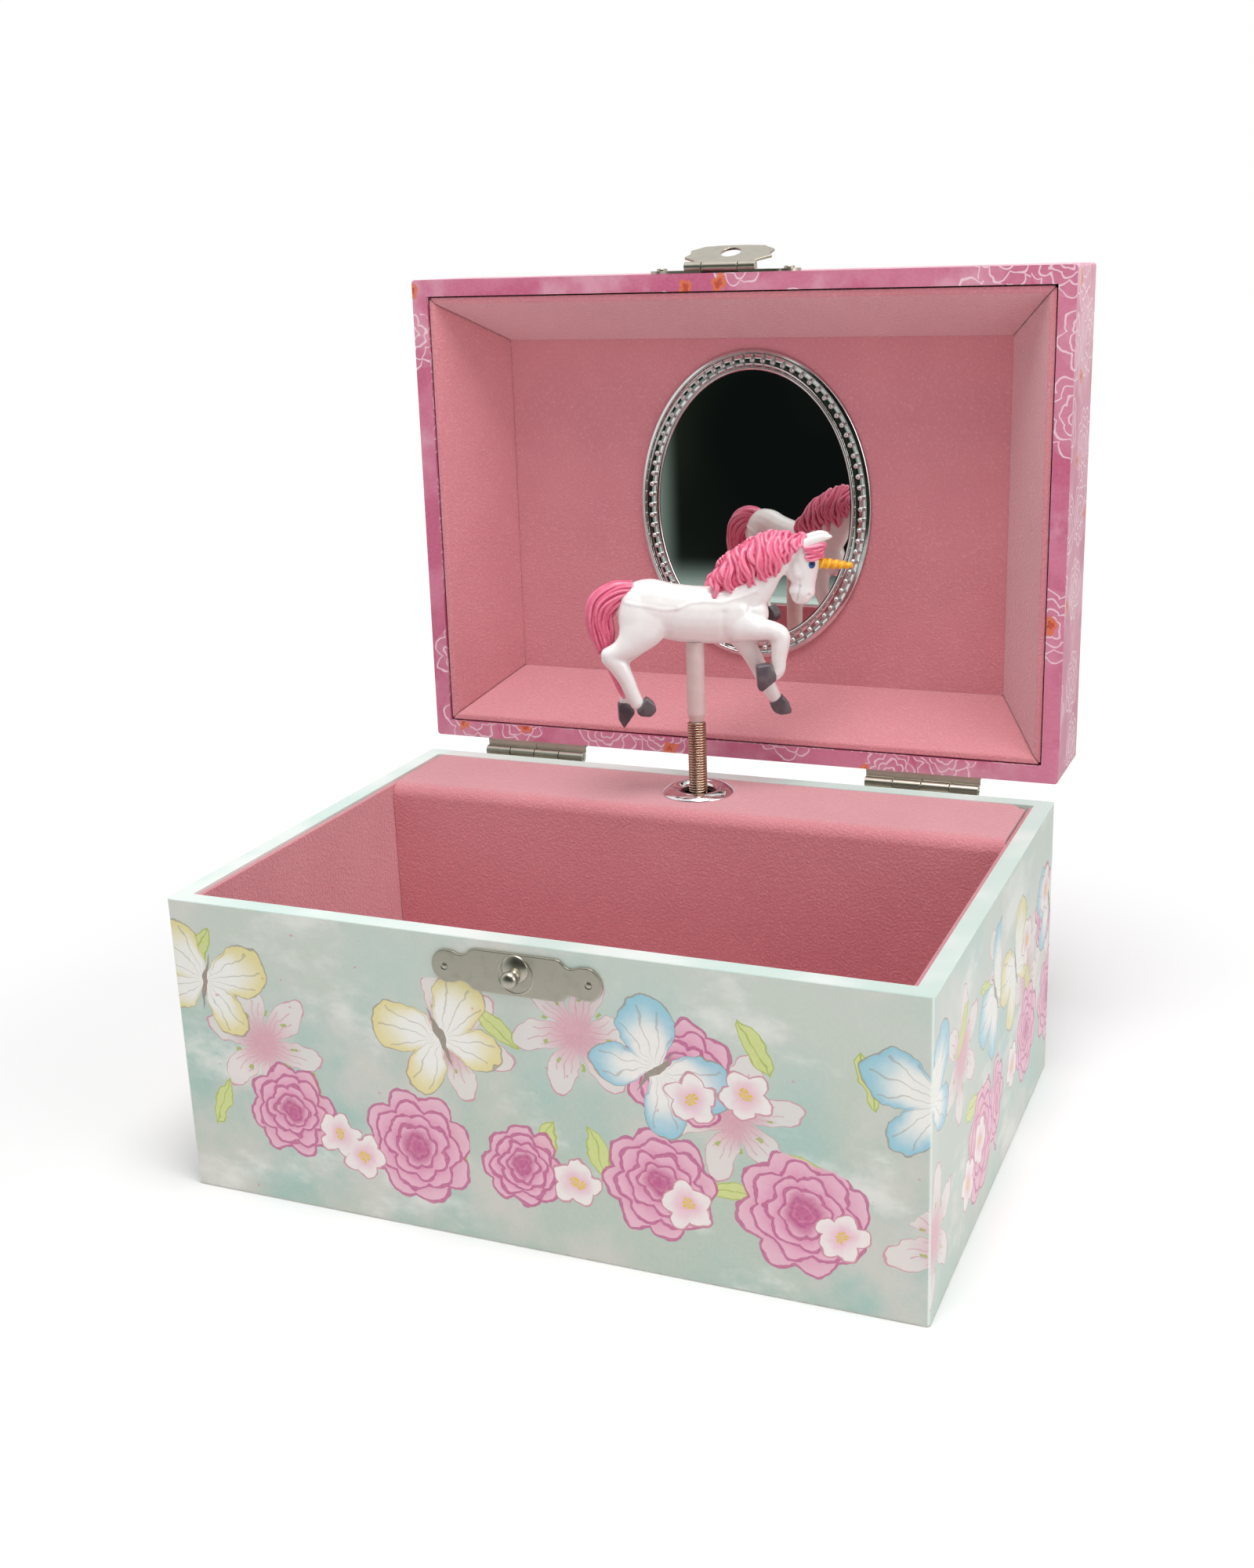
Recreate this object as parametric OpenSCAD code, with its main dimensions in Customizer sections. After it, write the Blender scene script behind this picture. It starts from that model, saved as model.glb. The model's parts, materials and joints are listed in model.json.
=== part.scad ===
// Musical jewellery box: card box with a hinged lid, oval mirror, snap hasp, a lined
// compartment, a wound music movement and a small unicorn that turns on a spring.
// Millimetres. +Z up, +Y to the rear, origin at the middle of the underside.

/* [Box] */
// Outside width, left to right
box_w = 150; // [140:1:170]
// Outside depth, front to back
box_d = 107; // [104:1:125]
// Height of the base, underside to rim
base_h = 61.5; // [60.5:0.5:75]
// Height of the lid
lid_h = 22.5; // [22:0.5:30]
// Gap between the two rims when closed
lid_gap = 0.5; // [0.4:0.1:0.8]
// Thickness of the card walls
board_t = 3.1; // [2.6:0.1:3.6]
// Thickness of the floor card
floor_t = 2.5; // [2:0.1:3]
// Thickness of the printed wrapping paper
wrap_t = 0.3; // [0.2:0.05:0.4]
// Radius of the wrapped corners
corner_r = 0.8; // [0.5:0.1:0.9]
// Thickness of the paper under the base
sheet_t = 0.4; // [0.3:0.1:0.8]

/* [Linings] */
// Thickness of the flocked lining cards
lining_t = 1; // [0.8:0.1:1.4]
// Drop of the lining edges below the rim
lining_drop = 0.5; // [0.3:0.1:1]
// Thickness of the floor pad
pad_t = 1.5; // [1:0.1:3]
// Depth of the lid tray, rim to panel
tray_depth = 18; // [17:0.1:18.3]
// Inset of the lid panel from the left and right edges
panel_inset_x = 15; // [12:0.5:18]
// Inset of the lid panel from the front and rear edges
panel_inset_y = 13.6; // [12:0.1:15]
// Gap between the lid tray and the lid rim
tray_gap = 0.7; // [0.4:0.1:1]

/* [Movement cover] */
// Drop of the shelf below the rim
shelf_drop = 1; // [0.8:0.1:1.6]
// Thickness of the cover card
cover_t = 1.2; // [1:0.1:1.5]
// Clear depth of the movement space, rear wall to cover
movement_room = 22.6; // [22:0.1:26]
// Outside radius of the bend at the shelf's front edge
cover_bend = 3; // [2:0.5:5]
// Gap at the right end of the cover
cover_end_gap = 1.6; // [0.5:0.1:2]
// Width of the wooden cleats under the shelf
cleat_w = 6; // [4:0.5:9]

/* [Lid mirror] */
// Width of the oval frame
mirror_w = 55.4; // [45:0.1:62]
// Width of the beaded rim
mirror_rim = 4.7; // [3.5:0.1:6]
// Height of the rim above the lid panel
mirror_rim_h = 1.1; // [1:0.1:1.2]
// Thickness of the glass
glass_t = 0.8; // [0.6:0.05:0.9]
// Offset of the mirror to the right of the middle
mirror_x = 1; // [-3:0.5:3]
// Gap between the mirror and the tray's front card
mirror_front_gap = 2.25; // [1:0.05:6]
// Gap between the mirror and the tray's rear card
mirror_rear_gap = 5.25; // [1:0.05:8]

/* [Lid hinges] */
// Length of one hinge
hinge_w = 25.5; // [20:0.5:32]
// Distance of the left hinge's middle from the left side
hinge_left_inset = 26.5; // [20:0.5:40]
// Distance of the right hinge's middle from the right side
hinge_right_inset = 29.5; // [20:0.5:40]
// Distance of the hinge axis behind the rear face
hinge_out = 2.8; // [2.6:0.1:3.4]
// Height of the hinge axis above the base rim
hinge_up = 0.1; // [0:0.05:0.2]
// Outside radius of the knuckles
knuckle_r = 1.2; // [1.1:0.05:1.4]
// Radius of the hinge pins
pin_r = 0.5; // [0.4:0.05:0.6]
// Thickness of the sheet-metal fittings
leaf_t = 0.6; // [0.4:0.05:0.7]
// Height of the hinge leaves on the walls
leaf_h = 10; // [8:0.5:13]
// Angle at which the lid rests open
lid_open = 91; // [90:0.5:95]

/* [Clasp] */
// Sideways position of the clasp
clasp_x = -0.4; // [-6:0.1:6]
// Length of the plate on the base
latch_l = 33.7; // [30:0.1:40]
// Height of the plate on the base
latch_h = 8.2; // [7:0.1:9]
// Drop of the stud below the base rim
stud_drop = 5.9; // [5.5:0.1:6.5]
// Radius of the stud's ball
stud_r = 1.6; // [1.3:0.1:1.7]
// Reach of the stud out of its plate
stud_out = 3.4; // [3:0.1:4]
// Length of the hasp plate on the lid
hasp_l = 34; // [30:0.5:40]
// Height of the hasp plate
hasp_h = 7.4; // [6:0.1:9]
// Distance of the hasp axis in front of the lid
hasp_out = 1.4; // [1.3:0.05:1.6]
// Height of the hasp axis above the lid rim
hasp_up = 1; // [0.9:0.1:1.4]
// Outside radius of the hasp knuckles
hasp_knuckle_r = 1; // [0.9:0.05:1.1]
// Radius of the hasp pin
hasp_pin_r = 0.4; // [0.3:0.05:0.5]
// Width of the hasp leaf
hasp_w = 20; // [18:0.5:24]
// Length of the hasp leaf from its axis
hasp_leaf_l = 11; // [10.5:0.1:13]
// Swing of the hasp from its stop to latched
hasp_swing = 157; // [140:1:165]

/* [Music movement] */
// Sideways position of the spindle and the winding axis
spindle_x = -0.6; // [-6:0.1:6]
// Height of the winding axis above the underside
barrel_z = 34; // [32:0.5:34.5]
// Gear module of the whole train
gear_mod = 0.5; // [0.5:0.01:0.52]
// Teeth of the crown wheel on the spring barrel
crown_teeth = 48; // [48:4:48]
// Teeth of the pinions that the crown drives
pinion_teeth = 12; // [12:1:12]
// Teeth of the wheel on the cylinder
wheel_teeth = 30; // [30:1:30]
// Teeth of the governor pinion
governor_teeth = 10; // [10:1:10]
// Teeth of the worm wheel
worm_teeth = 20; // [20:1:20]
// Thickness of the bedplate
bed_t = 2; // [1.5:0.1:2.4]
// Radius of the winding arbor
arbor_r = 1.5; // [1.2:0.1:1.8]
// Radius of the pinned cylinder
cylinder_r = 5.5; // [5:0.1:5.8]
// Length of the pinned cylinder
cylinder_l = 20; // [18:0.5:21]
// Number of comb teeth
comb_teeth = 18; // [12:1:20]
// Clearance between comb and pins
comb_gap = 0.2; // [0.1:0.05:0.4]
// Span of the winding key's wings
key_span = 26; // [20:0.5:30]

/* [Figure] */
// Outside radius of the spring
spring_r = 2.05; // [1.9:0.05:2.3]
// Turns of the spring
spring_turns = 23; // [18:1:26]
// Wire of the spring
spring_wire = 0.67; // [0.6:0.01:0.7]
// Outside radius of the ring round the spindle
ring_r = 8; // [6:0.5:9]
// Height of the ring above the shelf
ring_h = 1.3; // [1:0.1:1.6]
// Radius of the clear post
post_r = 2; // [1.6:0.1:2.2]
// Heading of the unicorn from the box's width
heading = 27; // [0:1:60]
// Breadth of the unicorn's body against its height
figure_breadth = 0.62; // [0.5:0.01:0.68]

/* [Hidden] */
$fn = 48;
eps = 0.01;

// Clearances
run = 0.05;       // radial clearance of a shaft in its bore
gap = 0.3;        // clearance between bodies that pass each other
fit = 0.02;       // radial clearance of a nail or screw in its hole

// Box
wall_t = board_t + 2 * wrap_t;
in_w = box_w - 2 * wall_t;
in_d = box_d - 2 * wall_t;
front_y = -box_d / 2;
rear_y = box_d / 2;
in_rear = in_d / 2;
floor_top = sheet_t + floor_t;
lining_top = base_h - lining_drop;
lid_z0 = base_h + lid_gap;
lid_z1 = lid_z0 + lid_h;
lid_board_z1 = lid_z1 - wrap_t;
lid_board_z0 = lid_board_z1 - board_t;
panel_z = lid_z0 + tray_depth;
tray_in = wall_t + tray_gap;
tray_card = 0.9;
mitre_gap = 0.05;
panel_rim_y = box_d / 2 - panel_inset_y - tray_card;
mirror_l = 2 * panel_rim_y - mirror_front_gap - mirror_rear_gap;
mirror_y = (mirror_front_gap - mirror_rear_gap) / 2;

// Movement cover
shelf_z = base_h - shelf_drop;
shelf_under = shelf_z - cover_t;
cover_back = in_rear - movement_room;
cover_front = cover_back - cover_t;
cover_left = -in_w / 2 + lining_t + 0.1;
cover_right = in_w / 2 - lining_t - cover_end_gap;

// Hinges
hinge_y = rear_y + hinge_out;
hinge_z = base_h + hinge_up;
knuckles = 4;
knuckle_gap = 0.25;
knuckle_w = hinge_w / knuckles;
hinge_left = hinge_left_inset - box_w / 2;
hinge_right = box_w / 2 - hinge_right_inset;
hinge_centres = [hinge_left, hinge_right];
nail_r = 0.45;
nail_head_r = 1.15;
nail_head_h = 0.5;
nail_l = 3;
hinge_nail_x = hinge_w / 3;

// Clasp
stud_z = base_h - stud_drop;
latch_z = stud_z - 0.1;
latch_nail_x = latch_l / 2 - 2.6;
boss_r = 4.5;
boss_h = 0.5;
hasp_y = front_y - hasp_out;
hasp_z = lid_z0 + hasp_up;
hasp_knuckle_w = 8;
hasp_side_w = 4;
hasp_nail_x = hasp_l / 2 - 2.5;
hasp_plate_z0 = lid_z0 + 0.3;
hasp_nail_z = hasp_plate_z0 + hasp_h / 2;
hasp_hole_r = stud_r + 0.65;
hasp_leaf_in = front_y - leaf_t - boss_h - 0.4;

// Movement, all from the bedplate's front face and the barrel axis
bed_back = in_rear;
bed_front = bed_back - bed_t;
crown_r = gear_mod * crown_teeth / 2;
pinion_r = gear_mod * pinion_teeth / 2;
tooth_up = 0.9 * gear_mod;
tooth_down = 1.4 * gear_mod;
crown_face = 2.4;
crown_out = crown_r + crown_face / 2;
crown_pitch_y = bed_front - 5.3;
crown_root_y = crown_pitch_y + tooth_down;
crown_tip_y = crown_pitch_y - tooth_up;
spindle_y = crown_pitch_y - pinion_r;
barrel_r = crown_r - 1;
barrel_wall = 0.7;
disc_t = 0.8;
cap_t = 0.6;
barrel_back = bed_front - 0.4;
spring_w = 1.9;
cylinder_z = barrel_z;
cylinder_axle_r = 0.8;
post_t = 0.8;
left_post_x = spindle_x + crown_out + gap;
cylinder_x0 = left_post_x + post_t + gap + 0.1;
cylinder_x1 = cylinder_x0 + cylinder_l;
pin_out = 0.6;
wheel_r = gear_mod * wheel_teeth / 2;
wheel_x0 = cylinder_x1 + 1.4;
wheel_t = 1.2;
right_post_x = wheel_x0 + wheel_t + 0.7;
right_post_t = 1.2;
governor_r = gear_mod * governor_teeth / 2;
governor_z = cylinder_z + wheel_r + governor_r;
worm_wheel_r = gear_mod * worm_teeth / 2;
worm_r = 1.5;
worm_lead = 2 * PI * gear_mod;
fly_x = right_post_x + right_post_t + 2.2;
frame_x = fly_x + 2.4;
fly_z = governor_z + worm_wheel_r + worm_r;
fly_r = 0.6;
vane_r = 4.6;
vane_y0 = cover_back + 1.6;
vane_l = 3.8;
front_arm_y = vane_y0 + vane_l + 0.6;
arm_t = 1;
comb_t = 0.9;
comb_tip_z = cylinder_z - cylinder_r - pin_out - comb_gap;
comb_root_z = comb_tip_z - 10.5;
comb_foot_z = comb_root_z - 8;
comb_screw_x = cylinder_l / 4;
comb_pitch = (cylinder_l - 1) / comb_teeth;
bracket_z0 = barrel_z + crown_out + 1;
bracket_t = 1.8;
bracket_z1 = shelf_under - 3.6;
spindle_tip_r = spring_r - spring_wire - 0.25;
screw_r = 1.4;
screw_head_r = 2.8;
bed_x0 = spindle_x - 18;
bed_x1 = frame_x + 6;
bed_z0 = comb_foot_z - 2;
bed_z1 = shelf_under - 1;
bed_screw_z = min(bed_z1 - 5, hinge_z - leaf_h - screw_head_r - 1.2);
bed_screws = [[bed_x0 + 4, bed_z0 + 5], [bed_x0 + 4, bed_screw_z], [bed_x1 - 4, bed_screw_z]];
key_hub_r = 3;
key_hole_r = 3.2;
key_y0 = rear_y + 0.7;
key_neck_l = 7;
key_t = 1.3;
key_wing_r = key_span / 4;

// Figure, heights from the spring's top
spring_z0 = shelf_z + 0.5;
spring_z1 = spring_z0 + spring_turns * spring_wire;
spring_mean_r = spring_r - spring_wire / 2;
spring_in_r = spring_r - spring_wire;
neck_h = 1.6;
belly_h = 19;
unicorn_l = 58.8;
unicorn_k = unicorn_l / 58.8;

function oval(w, l, n = 96) = [for (i = [0:n - 1]) [w / 2 * cos(i * 360 / n), l / 2 * sin(i * 360 / n)]];

// Outline of a straight-flanked gear: root and tip of each tooth in turn
function gear_outline(teeth, thick, turn = 0) =
  let (r = gear_mod * teeth / 2, r0 = r - 1.3 * gear_mod, r1 = r + tooth_up)
  [for (i = [0:teeth - 1]) let (a = turn + i * 360 / teeth)
    for (c = [[r0, -0.62], [r1, -0.3], [r1, 0.3], [r0, 0.62]])
      let (b = a + c[1] * thick / c[0] * 180 / PI) [c[0] * cos(b), c[0] * sin(b)]];

module in_lid() {
  translate([0, hinge_y, hinge_z]) rotate([-lid_open, 0, 0])
    translate([0, -hinge_y, -hinge_z]) children();
}

module along_x(x0, len, r, y, z) {
  translate([x0, y, z]) rotate([0, 90, 0]) cylinder(h = len, r = r);
}

module along_y(x, y0, len, r, z) {
  translate([x, y0, z]) rotate([-90, 0, 0]) cylinder(h = len, r = r);
}

module block(x0, x1, y0, y1, z0, z1) {
  translate([x0, y0, z0]) cube([x1 - x0, y1 - y0, z1 - z0]);
}

module rounded_rect(w, d, r) {
  square([w - 2 * r, d], center = true);
  square([w, d - 2 * r], center = true);
  for (sx = [-1, 1], sy = [-1, 1])
    translate([sx * (w / 2 - r), sy * (d / 2 - r)]) circle(r = r, $fn = 32);
}

// A round-headed nail driven along Y: dir +1 goes to the rear, -1 to the front
module nail(x, y, z, dir) {
  translate([x, y, z]) rotate([-90 * dir, 0, 0]) {
    cylinder(h = nail_l, r = nail_r, $fn = 24);
    intersection() {
      translate([0, 0, 0.6]) sphere(r = 1.5, $fn = 32);
      translate([0, 0, -nail_head_h]) cylinder(h = nail_head_h, r = nail_head_r, $fn = 32);
    }
  }
}

module nail_hole(x, y, z, dir) {
  translate([x, y, z]) rotate([-90 * dir, 0, 0]) translate([0, 0, -eps])
    cylinder(h = nail_l + 2 * eps, r = nail_r + fit, $fn = 24);
}

// ---- Base box ----

module hinge_nail_spots(side) {
  z = side < 0 ? hinge_z - 5.6 : hinge_z + 5.6;
  for (c = hinge_centres, s = [-1, 1]) translate([c + s * hinge_nail_x, rear_y + leaf_t, z]) children();
}

module base_holes() {
  hinge_nail_spots(-1) nail_hole(0, 0, 0, -1);
  for (s = [-1, 1]) nail_hole(clasp_x + s * latch_nail_x, front_y - leaf_t, latch_z, 1);
  along_y(clasp_x, front_y - 1, 4, nail_r * 2 + fit, stud_z);
  along_y(spindle_x, in_rear - 1, wall_t + 2, key_hole_r, barrel_z);
  for (p = bed_screws) along_y(p[0], in_rear - 1, wall_t + 2, screw_r + fit, p[1]);
}

module base_board_block(x0, x1, y0, y1) {
  color("tan") difference() {
    block(x0, x1, y0, y1, sheet_t, base_h - wrap_t);
    base_holes();
  }
}

module front_board() {
  base_board_block(-box_w / 2 + wrap_t, box_w / 2 - wrap_t, front_y + wrap_t, front_y + wrap_t + board_t);
}

module rear_board() {
  base_board_block(-box_w / 2 + wrap_t, box_w / 2 - wrap_t, rear_y - wrap_t - board_t, rear_y - wrap_t);
}

module left_board() {
  base_board_block(-box_w / 2 + wrap_t, -in_w / 2 - wrap_t, -in_d / 2 - wrap_t, in_d / 2 + wrap_t);
}

module right_board() {
  base_board_block(in_w / 2 + wrap_t, box_w / 2 - wrap_t, -in_d / 2 - wrap_t, in_d / 2 + wrap_t);
}

module floor_board() {
  color("tan") block(-in_w / 2, in_w / 2, -in_d / 2, in_d / 2, sheet_t, floor_top);
}

module base_wrap() {
  color([0.68, 0.76, 0.7]) difference() {
    translate([0, 0, sheet_t]) linear_extrude(base_h - sheet_t) rounded_rect(box_w, box_d, corner_r);
    translate([0, 0, sheet_t - 1]) linear_extrude(base_h - wrap_t - sheet_t + 1) difference() {
      square([box_w - 2 * wrap_t, box_d - 2 * wrap_t], center = true);
      square([in_w + 2 * wrap_t, in_d + 2 * wrap_t], center = true);
    }
    translate([0, 0, -1]) linear_extrude(base_h + 2) square([in_w, in_d], center = true);
    base_holes();
  }
}

module underside_sheet() {
  color("white") linear_extrude(sheet_t) rounded_rect(box_w - 0.6, box_d - 0.6, corner_r);
}

module front_lining() {
  color([0.85, 0.5, 0.55])
    block(-in_w / 2 + lining_t, in_w / 2 - lining_t, -in_d / 2, -in_d / 2 + lining_t, floor_top, lining_top);
}

module side_lining(side) {
  color([0.85, 0.5, 0.55]) translate([side * (in_w / 2 - lining_t / 2), 0, 0])
    block(-lining_t / 2, lining_t / 2, -in_d / 2, in_d / 2, floor_top, lining_top);
}

module left_lining() { side_lining(-1); }

module right_lining() { side_lining(1); }

module floor_pad() {
  color([0.9, 0.6, 0.64]) block(-in_w / 2 + lining_t, in_w / 2 - lining_t,
    -in_d / 2 + lining_t, cover_front, floor_top, floor_top + pad_t);
}

// Bent card: front panel, round bend and shelf with the spindle hole
module movement_cover() {
  bend_y = cover_front + cover_bend;
  bend_z = shelf_z - cover_bend;
  bend_in = cover_bend - cover_t;
  color([0.9, 0.58, 0.62]) difference() {
    union() {
      block(cover_left, cover_right, cover_front, cover_back, floor_top, bend_z);
      difference() {
        block(cover_left, cover_right, bend_y, in_rear, shelf_under, shelf_z);
        translate([cover_right - 3, in_rear - 3, shelf_under - 1]) difference() {
          cube([4, 4, 4]);
          translate([0, 0, -1]) cylinder(h = 6, r = 3);
        }
      }
      intersection() {
        along_x(cover_left, cover_right - cover_left, cover_bend, bend_y, bend_z);
        block(cover_left, cover_right, cover_front, bend_y, bend_z, shelf_z);
      }
    }
    if (bend_in > 0) intersection() {
      along_x(cover_left - 1, cover_right - cover_left + 2, bend_in, bend_y, bend_z);
      block(cover_left - 1, cover_right + 1, cover_front, bend_y + 1, bend_z - 1, shelf_z);
    }
    translate([spindle_x, spindle_y, shelf_under - 1]) cylinder(h = cover_t + 2, r = ring_r - 3);
  }
}

module cover_cleats() {
  color("burlywood") for (s = [-1, 1])
    translate([s * (in_w / 2 - lining_t - cleat_w / 2), 0, 0])
      block(-cleat_w / 2, cleat_w / 2, cover_back + 2, in_rear, shelf_under - 8, shelf_under);
}

module escutcheon_ring() {
  color("silver") translate([spindle_x, spindle_y, shelf_z]) rotate_extrude($fn = 72) {
    polygon([[3.2, 0], [ring_r, 0], [ring_r, 0.3], [ring_r - 0.8, 0.9], [ring_r - 1.8, ring_h],
      [ring_r - 2.8, ring_h], [3.6, 0.8], [3.2, 0.4]]);
    translate([3.2, -cover_t]) square([1.6, cover_t + eps]);
  }
}

// ---- Clasp on the base ----

module lobed_plate(len, tall) {
  end_r = tall * 0.38;
  square([len - 4 * end_r, tall], center = true);
  square([len - 2 * end_r, tall * 0.5], center = true);
  for (s = [-1, 1]) {
    translate([s * (len / 2 - end_r), 0]) circle(r = end_r);
    translate([s * (len / 2 - 2 * end_r), 0]) circle(r = tall / 2);
  }
}

module latch_plate() {
  color([0.68, 0.66, 0.6]) difference() {
    union() {
      translate([clasp_x, front_y, latch_z]) rotate([90, 0, 0]) linear_extrude(leaf_t)
        lobed_plate(latch_l, latch_h);
      translate([clasp_x, front_y - leaf_t + eps, stud_z]) rotate([90, 0, 0])
        rotate_extrude() polygon([[2.6, 0], [boss_r, 0], [boss_r - 0.5, boss_h], [3.1, boss_h]]);
    }
    for (s = [-1, 1]) nail_hole(clasp_x + s * latch_nail_x, front_y - leaf_t, latch_z, 1);
    along_y(clasp_x, front_y - 2, 4, nail_r * 2 + fit, stud_z);
  }
}

module latch_stud() {
  color([0.72, 0.7, 0.64]) translate([clasp_x, front_y - leaf_t, stud_z]) rotate([90, 0, 0]) {
    translate([0, 0, -3]) cylinder(h = 3 + eps, r = nail_r * 2);
    cylinder(h = 0.6, r = 2);
    cylinder(h = stud_out - stud_r, r = stud_r * 0.65);
    translate([0, 0, stud_out - stud_r]) sphere(r = stud_r);
  }
}

module latch_nails() {
  color([0.72, 0.7, 0.64]) for (s = [-1, 1])
    nail(clasp_x + s * latch_nail_x, front_y - leaf_t, latch_z, 1);
}

// ---- Lid hinges ----

// One leaf on the rear face; side -1 stands on the base and +1 on the lid
module hinge_leaf(c, side) {
  z0 = hinge_z + side * 0.6;
  first = side < 0 ? 0 : 1;
  color([0.68, 0.66, 0.6]) difference() {
    union() {
      translate([c, 0, 0])
        block(-hinge_w / 2, hinge_w / 2, rear_y, rear_y + leaf_t,
          side < 0 ? hinge_z - leaf_h : z0, side < 0 ? z0 : hinge_z + leaf_h);
      for (k = [first:2:knuckles - 1]) {
        x0 = c - hinge_w / 2 + k * knuckle_w + knuckle_gap / 2;
        x1 = x0 + knuckle_w - knuckle_gap;
        along_x(x0, x1 - x0, knuckle_r, hinge_y, hinge_z);
        block(x0, x1, rear_y, hinge_y, side < 0 ? hinge_z - knuckle_r : z0,
          side < 0 ? z0 : hinge_z + knuckle_r);
      }
    }
    along_x(c - hinge_w, 2 * hinge_w, pin_r + run, hinge_y, hinge_z);
    hinge_nail_spots(side) nail_hole(0, 0, 0, -1);
  }
}

module left_hinge_base_leaf() { hinge_leaf(hinge_left, -1); }

module right_hinge_base_leaf() { hinge_leaf(hinge_right, -1); }

module left_hinge_lid_leaf() { in_lid() hinge_leaf(hinge_left, 1); }

module right_hinge_lid_leaf() { in_lid() hinge_leaf(hinge_right, 1); }

module hinge_pins() {
  color("silver") for (c = hinge_centres) along_x(c - hinge_w / 2, hinge_w, pin_r, hinge_y, hinge_z);
}

module base_hinge_nails() {
  color([0.72, 0.7, 0.64]) hinge_nail_spots(-1) nail(0, 0, 0, -1);
}

module lid_hinge_nails() {
  color([0.72, 0.7, 0.64]) in_lid() hinge_nail_spots(1) nail(0, 0, 0, -1);
}

// ---- Lid ----

module lid_holes() {
  hinge_nail_spots(1) nail_hole(0, 0, 0, -1);
  for (s = [-1, 1]) nail_hole(clasp_x + s * hasp_nail_x, front_y - leaf_t, hasp_nail_z, 1);
}

module lid_board_block(x0, x1, y0, y1) {
  color("tan") in_lid() difference() {
    block(x0, x1, y0, y1, lid_z0 + wrap_t, lid_board_z0);
    lid_holes();
  }
}

module lid_front_board() {
  lid_board_block(-box_w / 2 + wrap_t, box_w / 2 - wrap_t, front_y + wrap_t, front_y + wrap_t + board_t);
}

module lid_rear_board() {
  lid_board_block(-box_w / 2 + wrap_t, box_w / 2 - wrap_t, rear_y - wrap_t - board_t, rear_y - wrap_t);
}

module lid_left_board() {
  lid_board_block(-box_w / 2 + wrap_t, -in_w / 2 - wrap_t, -in_d / 2 - wrap_t, in_d / 2 + wrap_t);
}

module lid_right_board() {
  lid_board_block(in_w / 2 + wrap_t, box_w / 2 - wrap_t, -in_d / 2 - wrap_t, in_d / 2 + wrap_t);
}

module lid_top_board() {
  color("tan") in_lid() block(-box_w / 2 + wrap_t, box_w / 2 - wrap_t, front_y + wrap_t, rear_y - wrap_t,
    lid_board_z0, lid_board_z1);
}

module lid_wrap() {
  color([0.75, 0.4, 0.52]) in_lid() difference() {
    translate([0, 0, lid_z0]) linear_extrude(lid_h) rounded_rect(box_w, box_d, corner_r);
    translate([0, 0, lid_z0 + wrap_t]) linear_extrude(lid_board_z1 - lid_z0 - wrap_t)
      difference() {
        square([box_w - 2 * wrap_t, box_d - 2 * wrap_t], center = true);
        square([in_w + 2 * wrap_t, in_d + 2 * wrap_t], center = true);
      }
    translate([0, 0, lid_board_z0]) linear_extrude(board_t)
      square([in_w + 3 * wrap_t, in_d + 3 * wrap_t], center = true);
    translate([0, 0, lid_z0 - 1]) linear_extrude(lid_board_z0 - lid_z0 + 1 + eps)
      square([in_w, in_d], center = true);
    lid_holes();
  }
}

// Four mitred cards that slope from the rim to the panel
module lid_side_lining() {
  z0 = lid_z0 + lining_drop;
  rim = [box_w / 2 - tray_in, box_d / 2 - tray_in];
  panel = [box_w / 2 - panel_inset_x, box_d / 2 - panel_inset_y];
  color([0.85, 0.52, 0.57]) in_lid() for (a = [0, 1, 2, 3]) {
    w = a % 2 == 0 ? [rim[0], rim[1] - mitre_gap] : [rim[1], rim[0] - mitre_gap];
    p = a % 2 == 0 ? [panel[0], panel[1] - mitre_gap] : [panel[1], panel[0] - mitre_gap];
    rotate(90 * a) polyhedron(
      points = [[w[0], -w[1], z0], [w[0], w[1], z0], [p[0], p[1], panel_z], [p[0], -p[1], panel_z],
        [w[0] - tray_card, -w[1] + tray_card, z0], [w[0] - tray_card, w[1] - tray_card, z0],
        [p[0] - tray_card, p[1] - tray_card, panel_z], [p[0] - tray_card, -p[1] + tray_card, panel_z]],
      faces = [[0, 1, 2, 3], [7, 6, 5, 4], [0, 4, 5, 1], [1, 5, 6, 2], [2, 6, 7, 3], [3, 7, 4, 0]]);
  }
}

module lid_panel() {
  color([0.86, 0.54, 0.6]) in_lid()
    block(-in_w / 2 + 1, in_w / 2 - 1, -in_d / 2 + 1, in_d / 2 - 1, panel_z, lid_board_z0);
}

module mirror_ring(outer, inner, h) {
  translate([mirror_x, mirror_y, panel_z - h]) linear_extrude(h) difference() {
    polygon(oval(mirror_w - 2 * outer, mirror_l - 2 * outer));
    polygon(oval(mirror_w - 2 * inner, mirror_l - 2 * inner));
  }
}

// Flat lip, two raised rims and the bead channel between them
module mirror_frame() {
  color([0.78, 0.77, 0.75]) in_lid() {
    mirror_ring(0, 1, 0.5);
    mirror_ring(0.9, 1.7, mirror_rim_h);
    mirror_ring(1.6, mirror_rim - 0.9, mirror_rim_h * 0.6);
    mirror_ring(mirror_rim - 1, mirror_rim, mirror_rim_h);
  }
}

module mirror_glass() {
  color([0.2, 0.24, 0.23]) in_lid() translate([mirror_x, mirror_y, panel_z - glass_t])
    linear_extrude(glass_t)
      polygon(oval(mirror_w - 2 * mirror_rim - 0.1, mirror_l - 2 * mirror_rim - 0.1));
}

// ---- Hasp ----

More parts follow.
